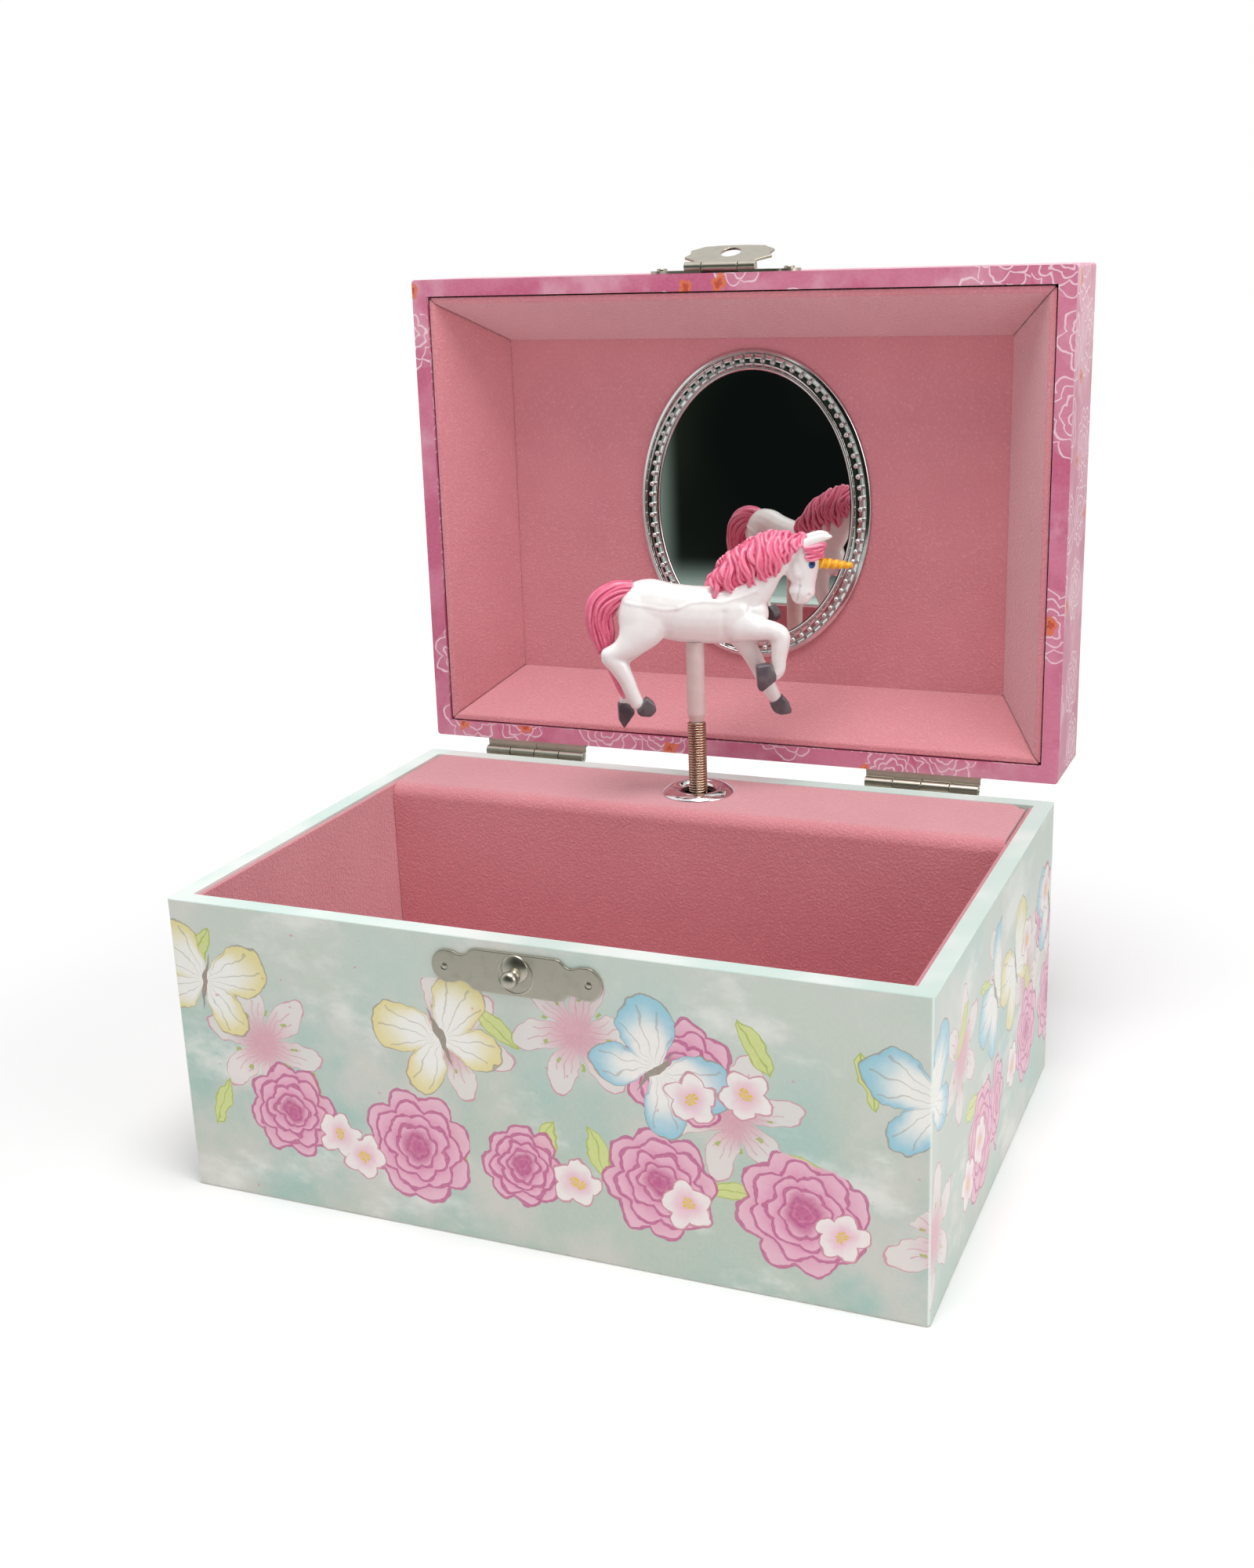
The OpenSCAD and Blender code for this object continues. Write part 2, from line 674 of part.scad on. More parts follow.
module hasp_plate() {
  side_x = hasp_knuckle_w / 2 + hasp_side_w;
  color([0.68, 0.66, 0.6]) in_lid() difference() {
    union() {
      translate([clasp_x, front_y, hasp_nail_z]) rotate([90, 0, 0]) linear_extrude(leaf_t)
        lobed_plate(hasp_l, hasp_h);
      for (s = [-1, 1]) {
        x0 = clasp_x + (s < 0 ? -side_x : hasp_knuckle_w / 2 + knuckle_gap);
        along_x(x0, hasp_side_w - knuckle_gap, hasp_knuckle_r, hasp_y, hasp_z);
        block(x0, x0 + hasp_side_w - knuckle_gap, hasp_y, front_y, hasp_z, hasp_z + hasp_knuckle_r);
      }
    }
    along_x(clasp_x - 20, 40, hasp_pin_r + run, hasp_y, hasp_z);
    block(clasp_x - hasp_knuckle_w / 2 - knuckle_gap, clasp_x + hasp_knuckle_w / 2 + knuckle_gap,
      hasp_y - 3, front_y + eps, lid_z0 - 1, hasp_z + hasp_knuckle_r + 1);
    for (s = [-1, 1]) nail_hole(clasp_x + s * hasp_nail_x, front_y - leaf_t, hasp_nail_z, 1);
  }
}

module hasp_pin() {
  len = hasp_knuckle_w + 2 * hasp_side_w;
  color("silver") in_lid() along_x(clasp_x - len / 2, len, hasp_pin_r, hasp_y, hasp_z);
}

module hasp_nails() {
  color([0.72, 0.7, 0.64]) in_lid() for (s = [-1, 1])
    nail(clasp_x + s * hasp_nail_x, front_y - leaf_t, hasp_nail_z, 1);
}

// Leaf drawn hanging latched over the stud, then swung back to its stop
module hasp_leaf() {
  w = hasp_w / 2;
  l = hasp_leaf_l;
  hole_z = stud_z - hasp_z;
  color([0.68, 0.66, 0.6]) in_lid() translate([clasp_x, hasp_y, hasp_z]) rotate([-hasp_swing, 0, 0])
    difference() {
      union() {
        along_x(-hasp_knuckle_w / 2, hasp_knuckle_w, hasp_knuckle_r, 0, 0);
        translate([0, hasp_leaf_in - hasp_y, 0]) rotate([90, 0, 0]) linear_extrude(leaf_t) {
          translate([-hasp_knuckle_w / 2, -2]) square([hasp_knuckle_w, 2]);
          polygon([[-6, -1.7], [6, -1.7], [w - 2.6, -3.6], [w, -5.2], [w - 0.9, -6.8], [w - 0.4, -8.6],
            [w - 3.2, 0.4 - l], [3, -l], [-3, -l], [3.2 - w, 0.4 - l], [0.4 - w, -8.6],
            [0.9 - w, -6.8], [-w, -5.2], [2.6 - w, -3.6]]);
        }
      }
      along_x(-10, 20, hasp_pin_r + run, 0, 0);
      translate([0, hasp_leaf_in - hasp_y + 1, hole_z]) rotate([90, 0, 0])
        cylinder(h = 4, r = hasp_hole_r);
    }
}

// ---- Music movement ----

module plate_screw(x, z) {
  along_y(x, bed_front + 0.4, rear_y - bed_front - 0.4 + eps, screw_r, z);
  difference() {
    along_y(x, rear_y, 1.3, screw_head_r, z);
    block(x - 3, x + 3, rear_y + 0.7, rear_y + 2, z - 0.35, z + 0.35);
  }
}

module movement_screws() {
  color("silver") for (p = bed_screws) plate_screw(p[0], p[1]);
}

// Cast bedplate with the comb foot and the two bearings of the cylinder
module movement_bedplate() {
  foot_front = spindle_y + comb_t / 2;
  mid = (cylinder_x0 + cylinder_x1) / 2;
  color([0.72, 0.72, 0.7]) difference() {
    union() {
      block(bed_x0, bed_x1, bed_front, bed_back, bed_z0, bed_z1);
      block(cylinder_x0, cylinder_x1, foot_front, bed_front + eps, comb_foot_z, comb_root_z);
      block(left_post_x, left_post_x + post_t, spindle_y - 2.2, bed_front + eps,
        cylinder_z - 2.2, cylinder_z + 2.2);
      block(right_post_x, right_post_x + right_post_t, spindle_y - 2.2, bed_front + eps,
        cylinder_z - 2.2, governor_z + 1.8);
    }
    along_x(left_post_x - 1, right_post_x + 4 - left_post_x, cylinder_axle_r + run, spindle_y, cylinder_z);
    along_x(right_post_x - 1, right_post_t + 2, fly_r + run, spindle_y, governor_z);
    along_y(spindle_x, bed_front - 1, bed_t + 2, arbor_r + run, barrel_z);
    along_y(fly_x, bed_front - 1, 2, fly_r + run, fly_z);
    for (p = bed_screws) along_y(p[0], bed_front + 0.4, bed_t, screw_r + fit, p[1]);
    for (s = [-1, 1]) along_y(mid + s * comb_screw_x, foot_front - 1, 4, 1 + fit, comb_foot_z + 4);
  }
}

// Steel comb: foot plate and tuned teeth, the bass ones cut deeper
module music_comb() {
  mid = (cylinder_x0 + cylinder_x1) / 2;
  first = mid - comb_pitch * (comb_teeth - 1) / 2;
  color([0.6, 0.62, 0.64]) difference() {
    union() {
      block(cylinder_x0, cylinder_x1, spindle_y - comb_t / 2, spindle_y + comb_t / 2,
        comb_foot_z, comb_root_z);
      for (i = [0:comb_teeth - 1])
        block(first + (i - 0.35) * comb_pitch, first + (i + 0.35) * comb_pitch,
          spindle_y - comb_t / 2, spindle_y + comb_t / 2, comb_root_z - eps, comb_tip_z);
      translate([cylinder_x0, spindle_y + comb_t / 2, comb_root_z - eps]) rotate([90, 0, 0])
        linear_extrude(comb_t) polygon([[0, 0], [cylinder_l, 0], [cylinder_l, 4.5], [0, 0.5]]);
    }
    for (s = [-1, 1]) along_y(mid + s * comb_screw_x, spindle_y - 2, 4, 1 + fit, comb_foot_z + 4);
  }
}

module comb_screws() {
  mid = (cylinder_x0 + cylinder_x1) / 2;
  head_y = spindle_y - comb_t / 2;
  color("silver") for (s = [-1, 1]) {
    along_y(mid + s * comb_screw_x, head_y - eps, 3.6, 1, comb_foot_z + 4);
    difference() {
      along_y(mid + s * comb_screw_x, head_y - 1, 1, 1.9, comb_foot_z + 4);
      block(mid + s * comb_screw_x - 3, mid + s * comb_screw_x + 3, head_y - 2, head_y - 0.6,
        comb_foot_z + 3.75, comb_foot_z + 4.25);
    }
  }
}

// Right bearing of the governor wheel and the front bearing of the fly
module governor_frame() {
  x0 = frame_x;
  x1 = x0 + 1;
  color([0.72, 0.72, 0.7]) difference() {
    union() {
      block(x0, x1, front_arm_y, bed_front, governor_z - 1.8, governor_z + 1.4);
      block(x0, x1, front_arm_y, front_arm_y + arm_t, governor_z - 1.8, fly_z + 1.4);
      block(fly_x - 1.4, x1, front_arm_y, front_arm_y + arm_t, fly_z - 1.4, fly_z + 1.4);
      block(x0, x1 + 4, bed_front - 1, bed_front, governor_z - 1.8, governor_z + 1.4);
    }
    along_x(x0 - 1, 3, fly_r + run, spindle_y, governor_z);
    along_y(fly_x, front_arm_y - 1, arm_t + 2, fly_r + run, fly_z);
  }
}

// Two arms that carry the upright spindle
module spindle_bracket() {
  color([0.72, 0.72, 0.7]) difference() {
    union() {
      for (z = [bracket_z0, bracket_z1])
        block(spindle_x - 4, spindle_x + 4, spindle_y - 3, bed_front, z, z + bracket_t);
      block(spindle_x - 4, spindle_x + 4, bed_front - 1, bed_front, bracket_z0, bracket_z1 + bracket_t);
    }
    translate([spindle_x, spindle_y, bracket_z0 - 1])
      cylinder(h = bracket_z1 - bracket_z0 + 6, r = arbor_r + run);
  }
}

module winding_arbor() {
  color("silver") along_y(spindle_x, crown_tip_y - 0.4, key_y0 + key_neck_l - crown_tip_y - 2,
    arbor_r, barrel_z);
}

// Butterfly key with its hub on the arbor's end
module winding_key() {
  wing_y = key_y0 + key_neck_l + key_wing_r - 2;
  color([0.8, 0.78, 0.72]) difference() {
    union() {
      along_y(spindle_x, key_y0, key_neck_l, key_hub_r, barrel_z);
      along_y(spindle_x, key_y0, 1, key_hub_r + 0.6, barrel_z);
      for (s = [-1, 1]) translate([spindle_x + s * (key_span / 2 - key_wing_r), wing_y, barrel_z - key_t / 2])
        cylinder(h = key_t, r = key_wing_r);
      block(spindle_x - key_span / 4, spindle_x + key_span / 4, wing_y - 4, wing_y + 4,
        barrel_z - key_t / 2, barrel_z + key_t / 2);
    }
    along_y(spindle_x, key_y0 - 1, key_neck_l, arbor_r + fit, barrel_z);
  }
}

// Drum with the crown wheel on its front
module spring_barrel() {
  teeth_step = 360 / crown_teeth;
  disc_back = crown_root_y + disc_t;
  color([0.83, 0.68, 0.35]) difference() {
    union() {
      along_y(spindle_x, crown_root_y, disc_t, crown_out, barrel_z);
      difference() {
        along_y(spindle_x, disc_back - eps, barrel_back - disc_back, barrel_r, barrel_z);
        along_y(spindle_x, disc_back, barrel_back, barrel_r - barrel_wall, barrel_z);
      }
      for (i = [0:crown_teeth - 1])
        translate([spindle_x, 0, barrel_z]) rotate([0, (i + 0.5) * teeth_step, 0])
          block(-0.25, 0.25, crown_tip_y, crown_root_y + eps, crown_out - crown_face, crown_out - eps);
    }
    along_y(spindle_x, crown_tip_y - 1, 5, arbor_r + run, barrel_z);
  }
}

module barrel_cap() {
  color([0.83, 0.68, 0.35]) difference() {
    along_y(spindle_x, barrel_back - cap_t - eps, cap_t, barrel_r - barrel_wall - fit, barrel_z);
    along_y(spindle_x, barrel_back - 2, 4, arbor_r + run, barrel_z);
  }
}

// Flat steel strip coiled from the arbor's eye out to the drum wall
module mainspring() {
  turns = 6;
  steps = 20;
  r0 = arbor_r + gap;
  r1 = barrel_r - barrel_wall - 0.05;
  strip = 0.4;
  growth = (r1 - strip - r0) / (turns * steps);
  y0 = crown_root_y + disc_t + 0.2;
  color([0.45, 0.5, 0.56]) translate([spindle_x, y0, barrel_z]) rotate([-90, 0, 0])
    linear_extrude(min(spring_w, barrel_back - cap_t - y0 - 0.1))
      polygon(concat(
        [for (i = [0:turns * steps]) (r0 + growth * i) * [cos(i * 360 / steps), sin(i * 360 / steps)]],
        [for (i = [turns * steps:-1:0])
          (r0 + growth * i + strip) * [cos(i * 360 / steps), sin(i * 360 / steps)]]));
}

// Brass cylinder: each track has its pins at angles set by the golden section
module pinned_cylinder() {
  mid = (cylinder_x0 + cylinder_x1) / 2;
  first = mid - comb_pitch * (comb_teeth - 1) / 2;
  color([0.85, 0.7, 0.38]) difference() {
    union() {
      along_x(cylinder_x0, cylinder_l, cylinder_r, spindle_y, cylinder_z);
      for (i = [0:comb_teeth - 1], k = [0:2])
        translate([first + i * comb_pitch, spindle_y, cylinder_z])
          rotate([(i * 3 + k * 31) * 137.5, 0, 0]) translate([0, 0, cylinder_r - 0.3])
            cylinder(h = pin_out + 0.3, r = 0.2, $fn = 6);
    }
    along_x(cylinder_x0 - 1, cylinder_l + 2, cylinder_axle_r + fit, spindle_y, cylinder_z);
  }
}

module gear_on_x(x0, t, teeth, thick, turn, z) {
  translate([x0, spindle_y, z]) rotate([90, 0, 90]) linear_extrude(t)
    polygon(gear_outline(teeth, thick, turn));
}

// Arbor of the cylinder with its pinion and its wheel
module cylinder_arbor() {
  axle_x0 = spindle_x + crown_r - crown_face / 2;
  color([0.83, 0.68, 0.35]) {
    along_x(axle_x0, right_post_x + right_post_t + 0.6 - axle_x0, cylinder_axle_r, spindle_y, cylinder_z);
    gear_on_x(axle_x0, crown_face - 0.05, pinion_teeth, 0.55, 0, cylinder_z);
    gear_on_x(wheel_x0, wheel_t, wheel_teeth, 0.55, 90 + 180 / wheel_teeth, cylinder_z);
  }
}

// Governor arbor with its pinion and the worm wheel
module governor_wheel() {
  color([0.83, 0.68, 0.35]) {
    along_x(wheel_x0 - 0.3, frame_x + 1.8 - wheel_x0, fly_r, spindle_y, governor_z);
    gear_on_x(wheel_x0, wheel_t, governor_teeth, 0.55, 90, governor_z);
    gear_on_x(fly_x - 0.4, 0.8, worm_teeth, 0.45, 90, governor_z);
  }
}

// Worm arbor with the two air vanes that hold the speed down
module fly_arbor() {
  turns = 2;
  color([0.62, 0.64, 0.66]) {
    along_y(fly_x, vane_y0 - 0.6, bed_front + 0.8 - vane_y0 + 0.6, fly_r, fly_z);
    translate([fly_x, spindle_y - worm_lead * turns / 2, fly_z]) rotate([-90, 0, 0])
      linear_extrude(height = worm_lead * turns, twist = -360 * turns, slices = 40)
        polygon(oval(2 * (worm_r + tooth_up), 2 * (worm_r - 1.15 * gear_mod), 16));
    block(fly_x - vane_r, fly_x + vane_r, vane_y0, vane_y0 + vane_l, fly_z - 0.2, fly_z + 0.2);
    along_y(fly_x, vane_y0, vane_l, 1, fly_z);
  }
}

module drive_spindle() {
  z0 = barrel_z + crown_r - crown_face / 2;
  shoulder = shelf_under - 0.6;
  color([0.83, 0.68, 0.35]) translate([spindle_x, spindle_y, 0]) {
    translate([0, 0, z0 + 0.025]) linear_extrude(crown_face - 0.05)
      polygon(gear_outline(pinion_teeth, 0.55, 90));
    translate([0, 0, z0]) cylinder(h = shoulder - z0, r = arbor_r);
    translate([0, 0, shoulder - eps]) cylinder(h = spring_z0 + 3 - shoulder, r = spindle_tip_r);
  }
}

// ---- Figure ----

// Close-wound coil, as touching rings
module figure_spring() {
  color([0.62, 0.6, 0.55]) translate([spindle_x, spindle_y, 0]) rotate_extrude($fn = 48)
    for (i = [0:spring_turns - 1])
      translate([spring_mean_r, spring_z0 + (i + 0.5) * spring_wire])
        circle(r = spring_wire / 2 + 0.01, $fn = 20);
}

module figure_post() {
  color([0.93, 0.94, 0.95, 0.8]) translate([spindle_x, spindle_y, spring_z1]) {
    translate([0, 0, -4.4]) cylinder(h = 4.4 + eps, r = spring_in_r - 0.1);
    cylinder(h = neck_h + eps, r1 = spring_in_r + 0.2, r2 = post_r);
    translate([0, 0, neck_h]) cylinder(h = belly_h - neck_h, r = post_r);
  }
}

module in_figure() {
  translate([spindle_x, spindle_y, spring_z1 + 0.05]) rotate(heading) children();
}

// The unicorn's stations are written for a length of 58.8 from tail to horn tip
module unicorn_size() {
  scale(unicorn_k) children();
}

// A limb through a list of [forward, height, radius, sideways]
module limb(points) {
  for (i = [0:len(points) - 2]) hull() for (p = [points[i], points[i + 1]])
    translate([p[0], p[3], p[1]]) sphere(r = p[2], $fn = 12);
}

module trunk() {
  limb([[-10.2, 26, 6.6, 0], [-4.5, 25, 6.2, 0], [1.5, 24.4, 6.1, 0], [7.5, 24.3, 6.3, 0]]);
  limb([[7.5, 24.3, 6.3, 0], [9.3, 23.8, 4.7, 0], [11.5, 30.5, 4.8, 0], [16.5, 34, 3.7, 0], [21, 37.2, 3.2, 0]]);
}

module head() {
  limb([[22.6, 37.3, 3.3, 0], [25.6, 34.4, 2.6, 0], [25.2, 30.4, 1.9, 0], [24.6, 27.9, 1.9, 0]]);
  limb([[22.6, 37.3, 3, 0], [22, 32.6, 2.8, 0], [24.2, 28.4, 2, 0]]);
  for (s = [-1, 1]) limb([[23.6, 38.6, 1.2, s * 2.8], [26.4, 39.6, 1.1, s * 3], [29.6, 40.2, 0.4, s * 2.8]]);
}

module legs() {
  side = 4;
  limb([[10, 22, 3.6, -side * 0.6], [17.4, 20.2, 2.1, -side], [18.9, 18.6, 1.9, -side],
    [18.2, 13.7, 1.4, -side], [16.9, 10, 1.5, -side], [14.6, 8.2, 2.1, -side]]);
  limb([[9.5, 20, 3.8, side * 0.6], [13.6, 11.3, 1.7, side], [16.4, 6.2, 1.4, side], [19.3, 2.9, 1.9, side]]);
  limb([[-11, 23, 5.4, -side * 0.5], [-15.6, 18.8, 3.4, -side], [-18.4, 16.8, 2.5, -side],
    [-17, 10.7, 1.6, -side], [-16.2, 6, 1.5, -side], [-15.4, 2.2, 2.1, -side]]);
  limb([[-10, 22, 5, side * 0.5], [-15.6, 16.5, 2.4, side], [-12.8, 9, 1.5, side], [-10.3, 5, 2, side]]);
}

module unicorn_body() {
  color([0.93, 0.92, 0.9]) in_figure() difference() {
    unicorn_size() scale([1, figure_breadth, 1]) {
      trunk();
      head();
      legs();
    }
    cylinder(h = belly_h, r = post_r + 0.02, $fn = 32);
  }
}

module unicorn_horn() {
  color([0.93, 0.66, 0.25]) in_figure() unicorn_size() hull() {
    translate([27.4, 0, 34.6]) sphere(r = 1.25, $fn = 12);
    translate([34.3, 0, 33.2]) sphere(r = 0.3, $fn = 8);
  }
}

module unicorn_mane() {
  color([0.93, 0.55, 0.66]) in_figure() unicorn_size() scale([1, figure_breadth + 0.1, 1])
    limb([[22.6, 38.9, 2.7, 0], [17.5, 38.2, 3.9, 0], [12.5, 35.4, 4.9, 0], [7.6, 32, 3.7, 0], [4.7, 29.6, 2, 0]]);
}

module unicorn_tail() {
  color([0.9, 0.5, 0.62]) in_figure() unicorn_size() scale([1, figure_breadth + 0.1, 1]) {
    limb([[-14.6, 31, 1.9, 0], [-18.4, 30.4, 2.2, 0], [-21.6, 27, 2.5, 0], [-21.8, 22.2, 2.6, 0.4],
      [-20.6, 18.6, 1.8, 1]]);
    limb([[-20.6, 18.6, 1.5, 1], [-21, 12, 1, 6], [-17.6, 7, 0.6, 7]]);
  }
}

front_board();
rear_board();
left_board();
right_board();
floor_board();
base_wrap();
underside_sheet();
front_lining();
left_lining();
right_lining();
floor_pad();
movement_cover();
cover_cleats();
escutcheon_ring();
latch_plate();
latch_stud();
latch_nails();
left_hinge_base_leaf();
right_hinge_base_leaf();
hinge_pins();
base_hinge_nails();
movement_bedplate();
movement_screws();
music_comb();
comb_screws();
governor_frame();
spindle_bracket();
lid_front_board();
lid_rear_board();
lid_left_board();
lid_right_board();
lid_top_board();
lid_wrap();
lid_side_lining();
lid_panel();
mirror_frame();
mirror_glass();
hasp_plate();
hasp_pin();
hasp_nails();
left_hinge_lid_leaf();
right_hinge_lid_leaf();
lid_hinge_nails();
hasp_leaf();
winding_key();
winding_arbor();
spring_barrel();
barrel_cap();
mainspring();
pinned_cylinder();
cylinder_arbor();
governor_wheel();
fly_arbor();
drive_spindle();
figure_spring();
figure_post();
unicorn_body();
unicorn_horn();
unicorn_mane();
unicorn_tail();
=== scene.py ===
import json
import math
import random

import bmesh
import bpy
from mathutils import Matrix, Vector
from mathutils.bvhtree import BVHTree


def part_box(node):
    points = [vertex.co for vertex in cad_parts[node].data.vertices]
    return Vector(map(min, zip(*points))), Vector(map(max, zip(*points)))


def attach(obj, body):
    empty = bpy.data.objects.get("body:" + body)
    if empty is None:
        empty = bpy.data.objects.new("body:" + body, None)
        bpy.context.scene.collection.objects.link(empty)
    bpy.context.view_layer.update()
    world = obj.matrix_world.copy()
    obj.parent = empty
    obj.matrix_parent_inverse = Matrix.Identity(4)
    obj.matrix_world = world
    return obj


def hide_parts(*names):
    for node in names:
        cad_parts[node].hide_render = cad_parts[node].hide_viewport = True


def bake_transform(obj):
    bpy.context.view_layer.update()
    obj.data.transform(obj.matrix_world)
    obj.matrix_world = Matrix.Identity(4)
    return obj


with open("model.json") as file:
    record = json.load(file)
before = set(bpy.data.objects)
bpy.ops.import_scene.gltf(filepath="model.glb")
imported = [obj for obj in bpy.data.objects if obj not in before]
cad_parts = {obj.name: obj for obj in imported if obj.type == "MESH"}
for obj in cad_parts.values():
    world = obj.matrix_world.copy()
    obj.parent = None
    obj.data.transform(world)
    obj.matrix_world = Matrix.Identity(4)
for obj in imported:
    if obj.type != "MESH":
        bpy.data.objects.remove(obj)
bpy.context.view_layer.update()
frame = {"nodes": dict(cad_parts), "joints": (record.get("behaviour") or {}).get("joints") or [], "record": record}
joints = {joint["name"]: joint for joint in frame["joints"]}
print("frame loaded:", len(frame["nodes"]), "nodes")

mm = 0.001


def srgb(red, green, blue):
    def linear(value):
        value /= 255
        return value / 12.92 if value <= 0.04045 else ((value + 0.055) / 1.055) ** 2.4
    return (linear(red), linear(green), linear(blue), 1.0)


# places taken from the frame, in millimetres
def boxOf(node):
    low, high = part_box(node)
    return low / mm, high / mm


lidHinge = Vector(joints["lid_hinge"]["pos_m"]) / mm
lidAngle = math.radians(joints["lid_hinge"]["range_deg"][1])
lidTurn = Matrix.Translation(lidHinge) @ Matrix.Rotation(-lidAngle, 4, "X") @ Matrix.Translation(-lidHinge)


# the box that a lid node fills with the lid closed
def closedBox(node):
    back = lidTurn.inverted()
    spots = [back @ (vertex.co / mm) for vertex in frame["nodes"][node].data.vertices]
    return [Vector(min(spot[k] for spot in spots) for k in range(3)),
            Vector(max(spot[k] for spot in spots) for k in range(3))]


# even steps round a circle
def angles(count):
    return [2 * math.pi * step / count for step in range(count)]


foldAxis = Vector(joints["figure_fold"]["axis"])
heading = math.atan2(foldAxis.y, foldAxis.x)
baseLow, baseHigh = boxOf("base_wrap")
postLow, postHigh = boxOf("figure_post")
springLow, springHigh = boxOf("figure_spring")
spindle = (postLow + postHigh) / 2
figureTurn = Matrix.Translation((spindle.x, spindle.y, springHigh.z)) @ Matrix.Rotation(heading, 4, "Z")


# shader maths: a wire wraps one output socket
class Wire:
    def __init__(self, tree, socket=None):
        self.tree = tree
        self.socket = socket

    def node(self, kind, settings=None, inputs=None, output=0):
        made = self.tree.nodes.new("ShaderNode" + kind)
        for name, value in (settings or {}).items():
            setattr(made, name, value)
        for name, value in (inputs or {}).items():
            target = made.inputs[name]
            if isinstance(value, Wire):
                self.tree.links.new(value.socket, target)
            else:
                target.default_value = value
        return Wire(self.tree, made.outputs[output])

    def maths(self, operation, *values):
        return self.node("Math", {"operation": operation}, dict(enumerate((self,) + values)))

    def vector(self, operation, *values, output=0):
        return self.node("VectorMath", {"operation": operation}, dict(enumerate((self,) + values)), output)

    def __add__(self, other):
        return self.maths("ADD", other)

    __radd__ = __add__

    def __sub__(self, other):
        return self.maths("SUBTRACT", other)

    def __rsub__(self, other):
        return self.node("Math", {"operation": "SUBTRACT"}, {0: other, 1: self})

    def __mul__(self, other):
        return self.maths("MULTIPLY", other)

    __rmul__ = __mul__

    def __truediv__(self, other):
        return self.maths("DIVIDE", other)

    def __lt__(self, other):
        return self.maths("LESS_THAN", other)

    def __gt__(self, other):
        return self.maths("GREATER_THAN", other)

    def __abs__(self):
        return self.maths("ABSOLUTE")

    def near(self, value, width):
        return abs(self - value) < width

    def soft(self, low, high):
        return self.node("MapRange", {"interpolation_type": "SMOOTHSTEP", "clamp": True},
                         {"Value": self, "From Min": low, "From Max": high})

    def either(self, other):
        return self.maths("MAXIMUM", other)

    def scaled(self, factor):
        return self.node("VectorMath", {"operation": "SCALE"}, {0: self, "Scale": factor})

    def mix(self, first, second):
        made = self.tree.nodes.new("ShaderNodeMix")
        made.data_type = "RGBA"
        for index, value in ((0, self), (6, first), (7, second)):
            if isinstance(value, Wire):
                self.tree.links.new(value.socket, made.inputs[index])
            else:
                made.inputs[index].default_value = value
        return Wire(self.tree, made.outputs[2])

    def parts(self):
        return [self.node("SeparateXYZ", None, {0: self}, index) for index in range(3)]

    def noise(self, scale, detail=2.0, rough=0.5):
        return self.node("TexNoise", {"noise_dimensions": "3D"},
                         {"Vector": self, "Scale": scale, "Detail": detail, "Roughness": rough})

    def into(self, shader, name):
        self.tree.links.new(self.socket, shader.inputs[name])


class Finish:
    def __init__(self, name, colour, roughness, **fixed):
        self.material = bpy.data.materials.new(name)
        self.material.use_nodes = True
        tree = self.material.node_tree
        self.shader = tree.nodes["Principled BSDF"]
        self.shader.inputs["Base Color"].default_value = colour
        self.shader.inputs["Roughness"].default_value = roughness
        for key, value in fixed.items():
            self.shader.inputs[key.replace("_", " ")].default_value = value
        self.start = Wire(tree)
        self.place = self.start.node("TexCoord", output=3).scaled(1000.0)

    def bump(self, height, distance, strength=1.0):
        self.start.node("Bump", None, {"Height": height, "Distance": distance, "Strength": strength}).into(
            self.shader, "Normal")

    def put(self, name, wire):
        wire.into(self.shader, name)


finishes = {}


def finishFor(slot, finish):
    finishes[slot] = finish.material
    return finish


# ---- linings and papers ----
flock = {
    "lit": srgb(222, 140, 149),
    "deep": srgb(218, 135, 145),
    "fleck": srgb(248, 198, 204),
    "fleckShare": 0.4,
    "grain": 1.9,
    "pile": 0.0005,
}


def flockFinish():
    made = finishFor("pink_flock", Finish("pinkFlock", flock["lit"], 0.92, Sheen_Weight=0.8,
                                          Sheen_Roughness=0.5, Specular_IOR_Level=0.2))
    pile = made.place.noise(flock["grain"], 3.0, 0.65)
    drift = made.place.noise(0.06, 2.0)
    tone = drift.soft(0.3, 0.7).mix(flock["deep"], flock["lit"])
    fleck = pile.soft(0.5, 0.8) * flock["fleckShare"]
    made.put("Base Color", fleck.mix(tone, flock["fleck"]))
    made.bump(pile, flock["pile"], 0.8)


# fibrous stuffs: stretch of the grain, its noise, range and two tones, height and strength of the bump
fibrous = {
    "underside_paper": {
        "name": "undersidePaper", "colour": srgb(232, 229, 222), "roughness": 0.75,
        "stretch": (0.6, 2.4, 1.0), "noise": (1.4, 4.0, 0.6), "range": (0.35, 0.7),
        "tones": (srgb(222, 218, 209), srgb(240, 238, 232)), "bump": (0.00004, 0.3)},
    "greyboard": {
        "name": "greyBoard", "colour": srgb(160, 148, 128), "roughness": 0.9,
        "stretch": (1.0, 1.0, 1.0), "noise": (1.2, 5.0, 0.7), "range": (0.3, 0.7),
        "tones": (srgb(138, 127, 108), srgb(178, 167, 147)), "bump": (0.0001, 0.5)},
    "softwood": {
        "name": "sawnPine", "colour": srgb(205, 170, 120), "roughness": 0.7,
        "stretch": (3.0, 0.25, 3.0), "noise": (0.9, 4.0, 0.6), "range": (0.35, 0.65),
        "tones": (srgb(186, 148, 98), srgb(220, 190, 144)), "bump": (0.00005, 0.4)},
}


def fibrousFinish(slot, stuff):
    made = finishFor(slot, Finish(stuff["name"], stuff["colour"], stuff["roughness"]))
    fibre = made.place.vector("MULTIPLY", stuff["stretch"]).noise(*stuff["noise"])
    made.put("Base Color", fibre.soft(*stuff["range"]).mix(*stuff["tones"]))
    made.bump(fibre, *stuff["bump"])


